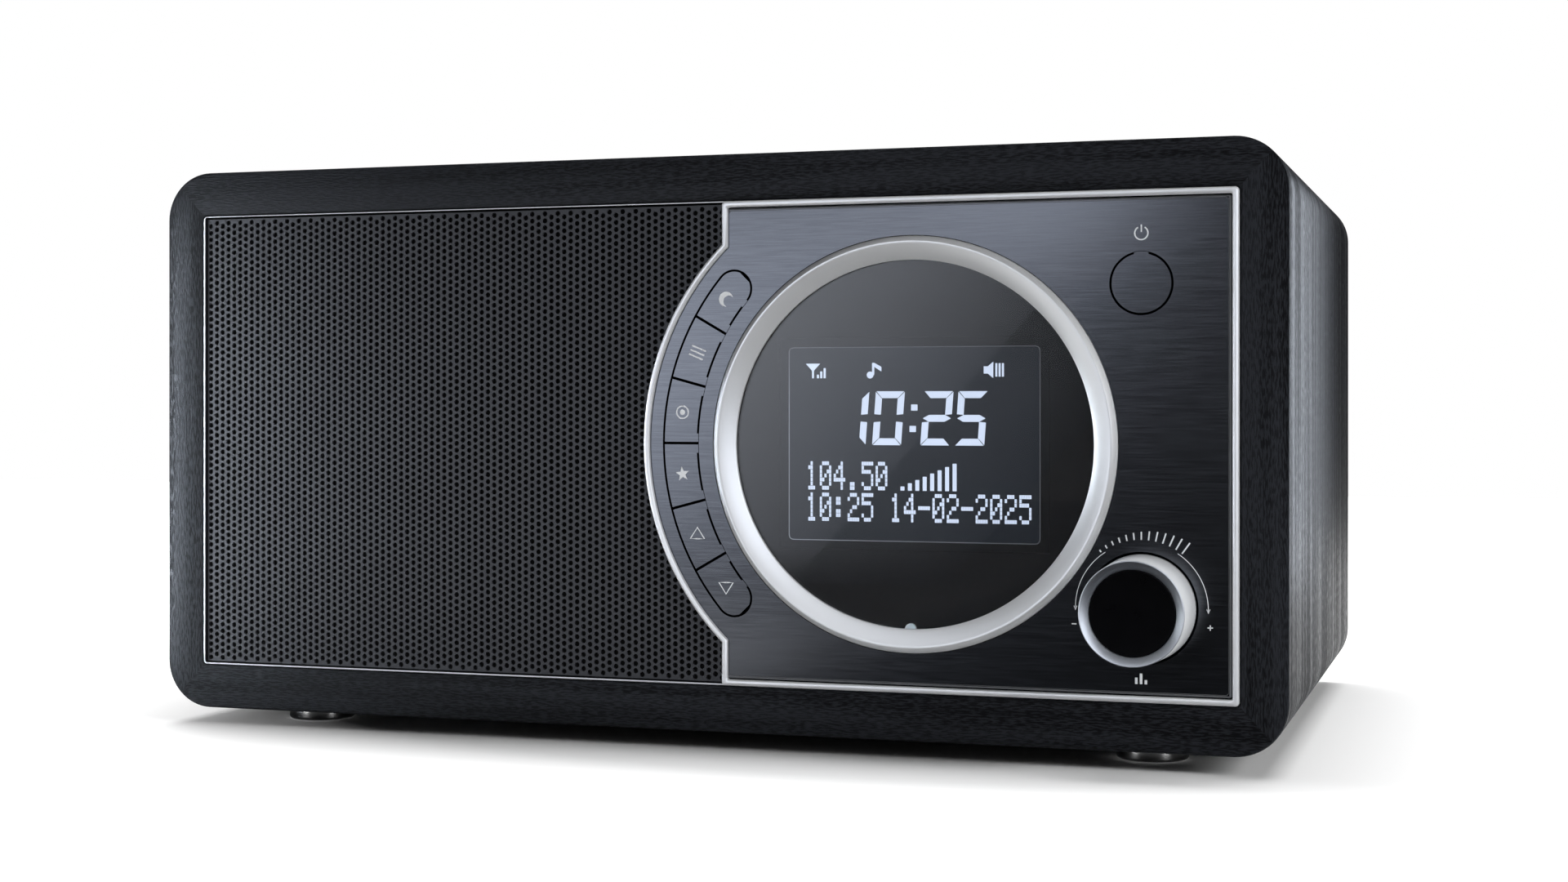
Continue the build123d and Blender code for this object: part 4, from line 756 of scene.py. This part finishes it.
ink = clouded("white ink", (0.7, 0.72, 0.75), (0.86, 0.88, 0.9), 0.45, 2500.0)
moon = arc_points(0, 0, 1.5, 50, 310, 20) + arc_points(0.75, 0, 1.169, 280.55, 79.45, 16)[1:-1]
lines = [box_points(-1.6, -0.15 + step, 1.6, 0.15 + step) for step in (-0.9, 0, 0.9)]
dot = [stroke(arc_points(0, 0, 1.25, 90, 449, 24), BOLD_LINE), arc_points(0, 0, 0.55, 0, 345, 23)]
tips, notches = arc_points(0, 0, 1.5, 90, 378, 4), arc_points(0, 0, 0.62, 126, 414, 4)
star = [point for pair in zip(tips, notches) for point in pair]
arrow = stroke([(0.2, -1.0), (1.5, -1.0), (0, 1.3), (-1.5, -1.0), (0.1, -1.0)], BOLD_LINE)
KEY_MARKS = {
    "sleep_key": [moon], "menu_key": lines, "enter_key": dot, "preset_key": [star],
    "up_key": [arrow], "down_key": [[(x, -z) for x, z in arrow]],
}
pivots = {joint["name"]: joint for joint in frame["joints"]}
for key, marks in KEY_MARKS.items():
    pivot = Vector(pivots[key + "_press"]["pos_m"]) - display
    outward = Vector((pivot.x, pivot.z)).normalized()
    turn = math.degrees(math.atan2(outward.y, outward.x)) - 180
    if key in ("up_key", "down_key"):
        turn = 0.0
    x, z = display.x + outward.x * LABEL_RADIUS, display.z + outward.y * LABEL_RADIUS
    bm = stamped([placed(mark, x, z, turn) for mark in marks], front - PRINT_DEPTH, PRINT_DEPTH)
    add_piece(key + "_symbol", bm, key + "_plate", "white_plastic", [ink])

knob_low, knob_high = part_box("knob_shell")
knob = Vector(((knob_low.x + knob_high.x) / 2, front, (knob_low.z + knob_high.z) / 2))
power = [stroke(arc_points(0, 0, 1.25, 120, 420, 24), BOLD_LINE), box_points(-0.13, 0.2, 0.13, 1.6)]
marks = [placed(mark, knob.x, POWER_HEIGHT) for mark in power]
for side, start, end in ((1, 57, -2), (-1, 123, 182)):
    arc = arc_points(0, 0, TURN_RADIUS, start, end, 24)
    tip = [(side * (TURN_RADIUS + out), z) for out, z in ((-0.3, 0.2), (0, -0.6), (0.3, 0.2))]
    marks += [placed(stroke(points, THIN_LINE), knob.x, knob.z) for points in (arc, tip)]
marks.append(placed(box_points(-0.45, -0.1, 0.45, 0.1), MINUS_PLACE, SIGN_HEIGHT))
for across, up in ((0.5, 0.1), (0.1, 0.5)):
    marks.append(placed(box_points(-across, -up, across, up), PLUS_PLACE, SIGN_HEIGHT))
for step in range(13):
    tick = box_points(SCALE_RADIUS, -0.14, SCALE_RADIUS + 0.5 + 0.17 * step, 0.14)
    marks.append(placed(tick, knob.x, knob.z, SCALE_START - SCALE_STEP * step))
for step, top in enumerate((0.2, 1.0, -0.2)):
    left = -1.2 + 0.9 * step
    marks.append(placed(box_points(left, -1.0, left + 0.5, top), knob.x, TONE_HEIGHT))
bm = stamped(marks, front - PRINT_DEPTH, PRINT_DEPTH)
add_piece("panel_symbols", bm, "cabinet", "white_plastic", [ink])

# Knob
# A turned aluminium cup, blasted outside, with a bright cone cut inside its rim and a black disc let
# into the face. It is pushed on the shaft of the rotary control. The profiles are in millimetres.
KNOB_PROFILE = (
    (0, -9.45), (8.1, -9.45), (8.1, -10.6), (8.2, -10.8), (9.56, -11.93), (9.68, -11.97), (9.79, -11.93),
    (9.84, -11.82), (10.25, 0.55), (10.15, 0.8), (8.7, 0.8), (8.7, -7.85), (4.4, -7.85), (4.4, -0.9),
    (3.05, -0.9), (3.05, -8.7), (0, -8.7),
)
DISC_PROFILE = (
    (0, -10.5), (4.0, -10.52), (7.3, -10.62), (7.9, -10.68), (8.06, -10.6), (8.06, -9.45), (0, -9.45),
)
CONE_DEPTH = -10.7 * MM


def turned_aluminium(name, low, high, metallic):
    """Aluminium with fine turned rings. Blasted metal scatters part of the light."""
    material = new_finish(name, (0.84, 0.86, 0.88), low, Metallic=metallic)
    offset = vector_math(material, "SUBTRACT", object_space(material), knob)
    depth = add_node(material, "SeparateXYZ", {0: offset}).outputs["Y"]
    turning_lines(material, depth, low, high, 0.04)
    return material


bm = turned(metres(KNOB_PROFILE), [knob], 128)
for face in bm.faces:
    if face.calc_center_median().y - knob.y < CONE_DEPTH and face.normal.y < -0.3:
        face.material_index = 1
blasted = turned_aluminium("blasted aluminium", 0.32, 0.4, 0.25)
cut = turned_aluminium("cut aluminium", 0.4, 0.48, 1.0)
add_piece("turned_knob", bm, "knob", "knob_metal", [blasted, cut], "knob_shell")
bm = turned(metres(DISC_PROFILE), [knob], 96)
black = (0.0015, 0.0015, 0.002)
lacquer = satin("black lacquer", black, 0.27, 0.34, 0.0, 300.0, 2.0, Specular_IOR_Level=0.08)
add_piece("knob_disc", bm, "knob", "knob_black", [lacquer], "knob_face")

# Pieces inside
# Boards, loudspeaker, screws and leads keep their solid shapes. Each takes a finish by what it is made
# of: two colours, a roughness, how many patches of colour there are to the metre, and 1 for a metal.
SPECKLED = {
    "raw_board": ((0.3, 0.21, 0.13), (0.42, 0.31, 0.2), 0.85, 300.0),
    "white_plastic": ((0.72, 0.72, 0.7), (0.8, 0.8, 0.78), 0.4, 60.0),
    "board_green": ((0.01, 0.07, 0.03), (0.02, 0.12, 0.05), 0.35, 150.0),
    "component_black": ((0.012, 0.012, 0.013), (0.03, 0.03, 0.032), 0.4, 250.0),
    "plated_steel": ((0.55, 0.56, 0.57), (0.66, 0.67, 0.68), 0.32, 120.0, 1.0),
    "brass": ((0.7, 0.5, 0.2), (0.8, 0.6, 0.28), 0.3, 200.0, 1.0),
    "paper_cone": ((0.015, 0.015, 0.016), (0.04, 0.038, 0.036), 0.85, 500.0),
    "black_rubber": ((0.008, 0.008, 0.008), (0.02, 0.02, 0.02), 0.6, 90.0),
    "ferrite": ((0.03, 0.03, 0.032), (0.06, 0.06, 0.062), 0.6, 400.0),
    "cable_sheath": ((0.02, 0.02, 0.022), (0.05, 0.05, 0.052), 0.45, 100.0),
    "ribbon_grey": ((0.3, 0.31, 0.33), (0.4, 0.41, 0.43), 0.5, 100.0),
}


def speckled(name, first, last, roughness, cells, metallic=0.0):
    """A plain finish with slow changes of colour and a fine grain."""
    material = new_finish(name, first, roughness, Metallic=metallic)
    cloud = noise(material, cells, 4.0)
    share = ranged(material, cloud, 0.3, 0.7, 0.0, 1.0)
    drive(material, "Base Color", blended(material, share, first, last))
    smooth, rough = 0.85 * roughness, min(1.0, 1.15 * roughness)
    drive(material, "Roughness", ranged(material, cloud, 0.3, 0.7, smooth, rough))
    bumped(material, noise(material, 6 * cells), 0.1, 0.03 * MM)
    return material


FINISHES = {
    "foot_rubber": rubber, "display_glass": glass, "light_pipe": frosted,
    "knob_black": lacquer, "knob_metal": blasted,
}
for slot_name, values in SPECKLED.items():
    FINISHES[slot_name] = speckled(slot_name.replace("_", " "), *values)

# Rear panel, sockets and aerial mount
# The back is moulded in black plastic, and so are the sockets and the mount of the aerial. The mould
# is spark-eroded, and leaves the fine texture that hides sink marks.


def textured_plastic():
    """Black moulded plastic with an even, leathery grain."""
    material = new_finish("textured plastic", (0.014, 0.014, 0.015), 0.5)
    cloud = noise(material, 40.0, 3.0)
    drive(material, "Base Color", blended(material, cloud, (0.010, 0.010, 0.011), (0.02, 0.02, 0.022)))
    grains = add_node(material, "TexVoronoi", {"Vector": object_space(material), "Scale": 1400.0})
    bumped(material, grains.outputs["Distance"], 0.25, 0.05 * MM)
    return material


FINISHES["black_plastic"] = textured_plastic()

# Wood screws
# Countersunk steel screws, blackened, that hold the rear panel and the baffle to the corner blocks.
# Each head has a cross recess.
SCREW_HEAD = 2.8 * MM
SCREW_SHANK = 1.4 * MM
SCREW_LENGTH = 12.0 * MM
RECESS_ARM = 1.5 * MM
RECESS_HALF = 0.36 * MM
RECESS_DEPTH = 1.2 * MM
RECESS_TAPER = 0.55
SCREW_POINT = 0.1


def drawn_out(bm, edges, centre, depth, size):
    """Extrudes a loop of edges along the depth and scales its new end, and returns that end's edges."""
    ends = pushed(bm, bmesh.ops.extrude_edge_only(bm, edges=edges), depth)
    verts = list({vert for edge in ends for vert in edge.verts})
    bmesh.ops.scale(bm, vec=(size, 1, size), space=Matrix.Translation(-centre), verts=verts)
    return ends


def cross_points(x, z):
    """The outline of a cross recess in the front view."""
    arm, half = RECESS_ARM, RECESS_HALF
    quarter = [(half, half), (half, arm), (-half, arm)]
    turns = [(1, 0, 0, 1), (0, -1, 1, 0), (-1, 0, 0, -1), (0, 1, -1, 0)]
    return [(x + a * px + b * pz, z + c * px + d * pz) for a, b, c, d in turns for px, pz in quarter]


screws_low, screws_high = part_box("cabinet_screws")
bm = bmesh.new()
for x in (screws_low.x + SCREW_HEAD, screws_high.x - SCREW_HEAD):
    for z in (screws_low.z + SCREW_HEAD, screws_high.z - SCREW_HEAD):
        for head, way in ((screws_low.y, 1), (screws_high.y, -1)):
            centre = Vector((x, head, z))
            rim = closed_loop(bm, arc_points(x, z, SCREW_HEAD, 0, 352.5, 47), head)
            cross = closed_loop(bm, cross_points(x, z), head)
            bmesh.ops.triangle_fill(bm, edges=rim + cross, use_beauty=True, normal=(0, -way, 0))
            foot = drawn_out(bm, cross, centre, way * RECESS_DEPTH, RECESS_TAPER)
            bmesh.ops.edgeloop_fill(bm, edges=foot)
            neck = drawn_out(bm, rim, centre, way * (SCREW_HEAD - SCREW_SHANK), SCREW_SHANK / SCREW_HEAD)
            tip = drawn_out(bm, neck, centre, way * (SCREW_LENGTH - 2 * SCREW_HEAD), 1.0)
            tip = drawn_out(bm, tip, centre, way * (SCREW_HEAD + SCREW_SHANK), SCREW_POINT)
            bmesh.ops.edgeloop_fill(bm, edges=tip)
blackened = speckled("blackened steel", (0.035, 0.035, 0.038), (0.07, 0.07, 0.075), 0.36, 500.0, 0.8)
add_piece("cross_screws", bm, "cabinet", "plated_steel", [blackened], "cabinet_screws")

# Sockets
# Nickel bushings in the mouths of the two round sockets, the bright pin of the power inlet, and the
# symbols that are printed over them: headphones, an arrow out, and which pole the pin is.
BUSHING_PROFILE = (
    (1.72, -3.0), (1.72, 0.12), (1.82, 0.2), (2.3, 0.2), (2.4, 0.12), (2.4, -0.02), (1.78, -0.02),
    (1.72, -3.0),
)
PIN_PROFILE = ((0, 0.04), (0.6, 0.02), (0.92, -0.2), (1.02, -0.5), (1.02, -6.0), (0, -6.0))
PIN_SETBACK = 1.0 * MM
SYMBOL_RISE = 9.5 * MM
WIDE_LINE = 0.3
RING_LINE = 0.22
jacks_low, jacks_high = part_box("audio_jacks")
inlet_low, inlet_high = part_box("dc_jack")
rear_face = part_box("rear_panel")[1].y
socket_z = (inlet_low.z + inlet_high.z) / 2
jack_half = (jacks_high.z - jacks_low.z) / 2
jack_places = (jacks_low.x + jack_half, jacks_high.x - jack_half)
inlet_x = (inlet_low.x + inlet_high.x) / 2
nickel = bright_metal("nickel", (0.42, 0.41, 0.39), 0.24, 0.34)
bm = turned(metres(BUSHING_PROFILE), [Vector((x, jacks_high.y, socket_z)) for x in jack_places], 48)
add_piece("socket_bushings", bm, "cabinet", "plated_steel", [nickel])
pin_end = Vector((inlet_x, inlet_high.y - PIN_SETBACK, socket_z))
bm = turned(metres(PIN_PROFILE), [pin_end], 32)
add_piece("inlet_pin", bm, "cabinet", "plated_steel", [nickel])

headphones = [stroke(arc_points(0, 0, 1.9, -5, 185, 24), WIDE_LINE)]
headphones += [box_points(-2.35, -1.5, -1.5, 0.1), box_points(1.5, -1.5, 2.35, 0.1)]
arrow_out = [stroke([(-1.6, 0.2), (-1.6, -1.4), (1.6, -1.4), (1.6, 0.2)], WIDE_LINE)]
arrow_out += [box_points(-0.15, -0.7, 0.15, 1.0), [(-0.65, 0.9), (0.65, 0.9), (0, 1.8)]]
poles = [arc_points(0, 0, 0.42, 0, 345, 23), stroke(arc_points(0, 0, 1.15, 40, 320, 24), BOLD_LINE)]
poles += [box_points(-2.7, -0.12, -1.15, 0.12), box_points(0.3, -0.12, 2.7, 0.12)]
poles += [stroke(arc_points(side * 3.6, 0, 0.95, 0, 359, 24), RING_LINE) for side in (-1, 1)]
poles += [box_points(-4.1, -0.1, -3.1, 0.1), box_points(3.1, -0.1, 4.1, 0.1)]
poles += [box_points(3.5, -0.5, 3.7, 0.5)]
marks = []
for x, drawing in zip(jack_places + (inlet_x,), (headphones, arrow_out, poles)):
    for mark in drawing:
        marks.append(placed([(-px, pz) for px, pz in mark], x, socket_z + SYMBOL_RISE))
bm = stamped(marks, rear_face + PRINT_DEPTH, -PRINT_DEPTH)
add_piece("socket_symbols", bm, "cabinet", "white_plastic", [ink])

# Aerial
# Drawn brass tubes, chrome plated, that slide in each other. They stand on a plated turret and hinge,
# which is held in the rear panel.
FINISHES["aerial_chrome"] = bright_metal("aerial chrome", (0.6, 0.61, 0.63), 0.12, 0.2)

# Finishes on the solids that stay
# Each solid takes the finish of its own material slot. The panel, the keys and others that were given
# a finish above keep it.
for solid in nodes.values():
    slot_name = solid.material_slots[0].material.name.split(".")[0]
    if slot_name in FINISHES:
        solid.material_slots[0].material = FINISHES[slot_name]

# Floor
# A pale sweep. It is a true matt surface near the object, so that the shadow shows, and it goes over
# to plain white further out, soonest at the left, as painted light that lifts the shadow there. What it
# throws back on the object from the front and the right is dim.
FLOOR_HALF = 1.2
HAZE_STRETCH = (1.0, 1.7, 1.0)
LEFT_SHADOW_LIFT = (-0.045, 0.0, 0.0)
HAZE_START = 0.165
HAZE_END = 0.33


def pale_floor():
    """Matt paper, plain white further out. Only the camera sees the front and the right side as pale."""
    pale, dim = (0.92, 0.92, 0.92), (0.05, 0.05, 0.05)
    material = new_finish("pale floor", pale, 1.0, Specular_IOR_Level=0.0, Emission_Color=(1, 1, 1, 1))
    place = object_space(material)
    axes = add_node(material, "SeparateXYZ", {0: place}).outputs
    near = ranged(material, axes["Y"], -0.32, -0.27, 0.0, 1.0)
    side = ranged(material, axes["X"], 0.22, 0.3, 1.0, 0.0)
    lit = combined(material, "MULTIPLY", near, side)
    in_view = add_node(material, "LightPath", {}).outputs["Is Camera Ray"]
    share = combined(material, "MAXIMUM", lit, in_view)
    drive(material, "Base Color", blended(material, share, dim, pale))
    behind = ranged(material, axes["Y"], 0.1, 0.5, 0.0, 1.0)
    glow = combined(material, "MULTIPLY", behind, lit)
    # The white glow starts closer to the object at its left than at its right, a painted light that lifts
    # the shadow at the left corner.
    oval = vector_math(material, "MULTIPLY_ADD", place, HAZE_STRETCH, LEFT_SHADOW_LIFT)
    far = vector_math(material, "LENGTH", oval)
    haze = combined(material, "MULTIPLY", ranged(material, far, HAZE_START, HAZE_END, 0.0, 1.0), in_view)
    drive(material, "Emission Strength", combined(material, "MAXIMUM", glow, haze))
    return material


def stage_sheet(name, corners, material):
    """A flat sheet of the studio."""
    mesh = bpy.data.meshes.new(name)
    bm = bmesh.new()
    bm.faces.new([bm.verts.new(corner) for corner in corners])
    bm.to_mesh(mesh)
    bm.free()
    mesh.materials.append(material)
    sheet = bpy.data.objects.new(name, mesh)
    bpy.context.scene.collection.objects.link(sheet)
    return sheet


square = box_points(-FLOOR_HALF, -FLOOR_HALF, FLOOR_HALF, FLOOR_HALF)
floor = stage_sheet("floor", [(x, y, 0) for x, y in square], pale_floor())

# World
# A white backdrop all round for the camera. The object itself sees white behind it, and a dim studio
# in front and at the right. Mirrored and refracted rays see the white behind it at the right too.
world = bpy.data.worlds.new("studio")
world.use_nodes = True
bpy.context.scene.world = world
direction = add_node(world, "TexCoord", {}).outputs["Generated"]
axes = add_node(world, "SeparateXYZ", {0: direction}).outputs
rays = add_node(world, "LightPath", {}).outputs
behind = ranged(world, axes["Y"], -0.05, 0.5, 0.0, 1.0)
edge = ranged(world, axes["X"], 0.022, 0.06, 1.0, 0.1)
level = ranged(world, combined(world, "MULTIPLY", behind, edge), 0.0, 1.0, 0.08, 1.0)
mirrored = combined(world, "MAXIMUM", rays["Is Glossy Ray"], rays["Is Transmission Ray"])
level = combined(world, "MAXIMUM", level, combined(world, "MULTIPLY", mirrored, behind))
level = combined(world, "MAXIMUM", level, rays["Is Camera Ray"])
background = world.node_tree.nodes["Background"]
background.inputs["Color"].default_value = (1.0, 1.0, 1.0, 1.0)
world.node_tree.links.new(level, background.inputs["Strength"])

# Lights
# Cards that only glossy surfaces see, the largest with a slanted edge that crosses the window. Lamps:
# a softbox overhead, a front fill that leaves out the floor, one at the right, a thin strip at each
# side, and a glint for the feet alone. Black flags keep the pale floor out of glossy surfaces.
CARD_DEPTH = front - 0.4
CARD_TOP = 0.125
EDGE_FOOT = -0.107
EDGE_SLANT = 0.15 / 0.165
FLAG_HEIGHT = 0.001


def soft_light(name, place, target, size, power, glossy=True, diffuse=True, colour=(1.0, 1.0, 1.0)):
    """An area light that faces a point. It lights the object and doesn't show itself."""
    data = bpy.data.lights.new(name, "AREA")
    data.shape = "RECTANGLE"
    data.size, data.size_y = size
    data.energy = power
    data.color = colour
    lamp = bpy.data.objects.new(name, data)
    aim = (Vector(target) - Vector(place)).to_track_quat("-Z", "Y")
    lamp.matrix_world = Matrix.Translation(place) @ aim.to_matrix().to_4x4()
    lamp.visible_camera = False
    lamp.visible_glossy = glossy
    lamp.visible_diffuse = diffuse
    bpy.context.scene.collection.objects.link(lamp)
    return lamp


def mirrored_sheet(name, corners, material):
    """A sheet that only glossy surfaces see."""
    sheet = stage_sheet(name, corners, material)
    sheet.visible_camera = False
    sheet.visible_diffuse = False
    return sheet


def card(name, points, depth, edge_strength, strength, fade):
    """A glowing card that shows only in glossy surfaces. It dims to its slanted edge and to the left."""
    glow = bpy.data.materials.new(name)
    glow.use_nodes = True
    glow.node_tree.nodes.remove(glow.node_tree.nodes["Principled BSDF"])
    axes = add_node(glow, "SeparateXYZ", {0: object_space(glow)}).outputs
    slant = combined(glow, "MULTIPLY_ADD", axes["Z"], EDGE_SLANT, EDGE_FOOT)
    inside = combined(glow, "SUBTRACT", slant, axes["X"])
    rise = ranged(glow, inside, *fade, edge_strength, strength)
    fall = ranged(glow, axes["X"], -0.36, -0.2, 0.45, 1.0)
    foot = ranged(glow, axes["Z"], 0.0, 0.014, 0.3, 1.0)
    level = combined(glow, "MULTIPLY", combined(glow, "MULTIPLY", rise, fall), foot)
    emission = add_node(glow, "Emission", {"Color": (0.88, 0.93, 1.04, 1.0), "Strength": level})
    surface = glow.node_tree.nodes["Material Output"].inputs["Surface"]
    glow.node_tree.links.new(emission.outputs[0], surface)
    mirrored_sheet(name, [(x, depth, z) for x, z in points], glow)


def slanted(low, high, left, shift):
    """A card from a left side to the slanted edge, or to a line beside it."""
    foot, head = EDGE_FOOT + EDGE_SLANT * low + shift, EDGE_FOOT + EDGE_SLANT * high + shift
    return [(foot, low), (head, high), (left, high), (left, low)]


edge_band = slanted(0.0, CARD_TOP, 0.0, 0.06)[:2] + slanted(0.0, CARD_TOP, 0.0, 0.0)[1::-1]
card("card", slanted(0.0, CARD_TOP, -0.7, 0.0), CARD_DEPTH, 0.62, 3.2, (0.0, 0.16))
card("card edge", edge_band, CARD_DEPTH, 0.08, 0.4, (-0.06, 0.0))
card("upper card", slanted(CARD_TOP, 0.175, -0.2, 0.0), CARD_DEPTH, 4.0, 2.0, (0.0, 0.12))
card("right card", box_points(0.2, 0.0, 1.6, 0.5), CARD_DEPTH - 0.08, 1.8, 1.8, (0.0, 1.0))
card("top card", box_points(-0.3, 0.28, 0.2, 0.6), CARD_DEPTH, 0.75, 0.75, (0.0, 1.0))

foot_group = bpy.data.collections.new("feet")
foot_group.objects.link(feet)
paper = bpy.data.collections.new("paper")
paper.objects.link(floor)
paper.collection_objects[0].light_linking.link_state = "EXCLUDE"
soft_light("overhead", (0.0, 0.14, 1.1), (0.0, 0.14, 0.0), (1.2, 0.42), 16.0, glossy=False)
fill = soft_light("front fill", (0.1, -1.0, 0.7), (0.0, -0.07, 0.06), (0.8, 0.5), 7.0, glossy=False)
fill.light_linking.receiver_collection = paper
left_strip = soft_light(
    "left strip", (-0.205, -0.14, 0.058), (-0.118, -0.073, 0.058), (0.026, 0.116), 0.075,
    diffuse=False, colour=(0.82, 0.9, 1.0)
)
left_strip.data.spread = math.radians(60)
soft_light("right side", (0.8, -0.25, 0.4), (0.1, -0.07, 0.03), (0.4, 0.4), 4.5, glossy=False)
soft_light(
    "right strip", (0.165, 0.045, 0.08), (0.12, -0.06, 0.075), (0.022, 0.11), 0.08,
    diffuse=False, colour=(0.84, 0.9, 1.0)
)
for side, place in ((-1, (-0.3, -0.4, 0.03)), (1, (0.41, -0.31, 0.03))):
    target = (side * 0.1, -0.056, 0.002)
    glint = soft_light("foot glint", place, target, (0.1, 0.06), 5.0, diffuse=False)
    glint.light_linking.receiver_collection = foot_group

flags = {
    "right flag": [(x, 0.6, z) for x, z in box_points(0.14, FLAG_HEIGHT, 1.6, 1.2)],
    "left flag": [(x, y, FLAG_HEIGHT) for x, y in box_points(-0.45, -0.17, -0.02, -0.076)],
    "front flag": [(x, y, FLAG_HEIGHT) for x, y in box_points(-0.02, -0.5, 0.3, -0.076)],
}
for name, corners in flags.items():
    mirrored_sheet(name, corners, flag_cloth_and_hole_shade).visible_shadow = False

# Camera
# The view of the photo: a level camera to the right of the middle, with its horizon a little high.
data = bpy.data.cameras.new("camera")
data.sensor_width = 36.0
data.lens = 51.40
data.shift_y = -0.02476
data.clip_start = 0.01
camera = bpy.data.objects.new("camera", data)
camera.location = (0.16049, -0.49636, 0.06975)
camera.rotation_euler = (math.radians(90), 0, math.radians(18.192))
bpy.context.scene.collection.objects.link(camera)
bpy.context.scene.camera = camera
bpy.context.scene.view_settings.view_transform = "Standard"
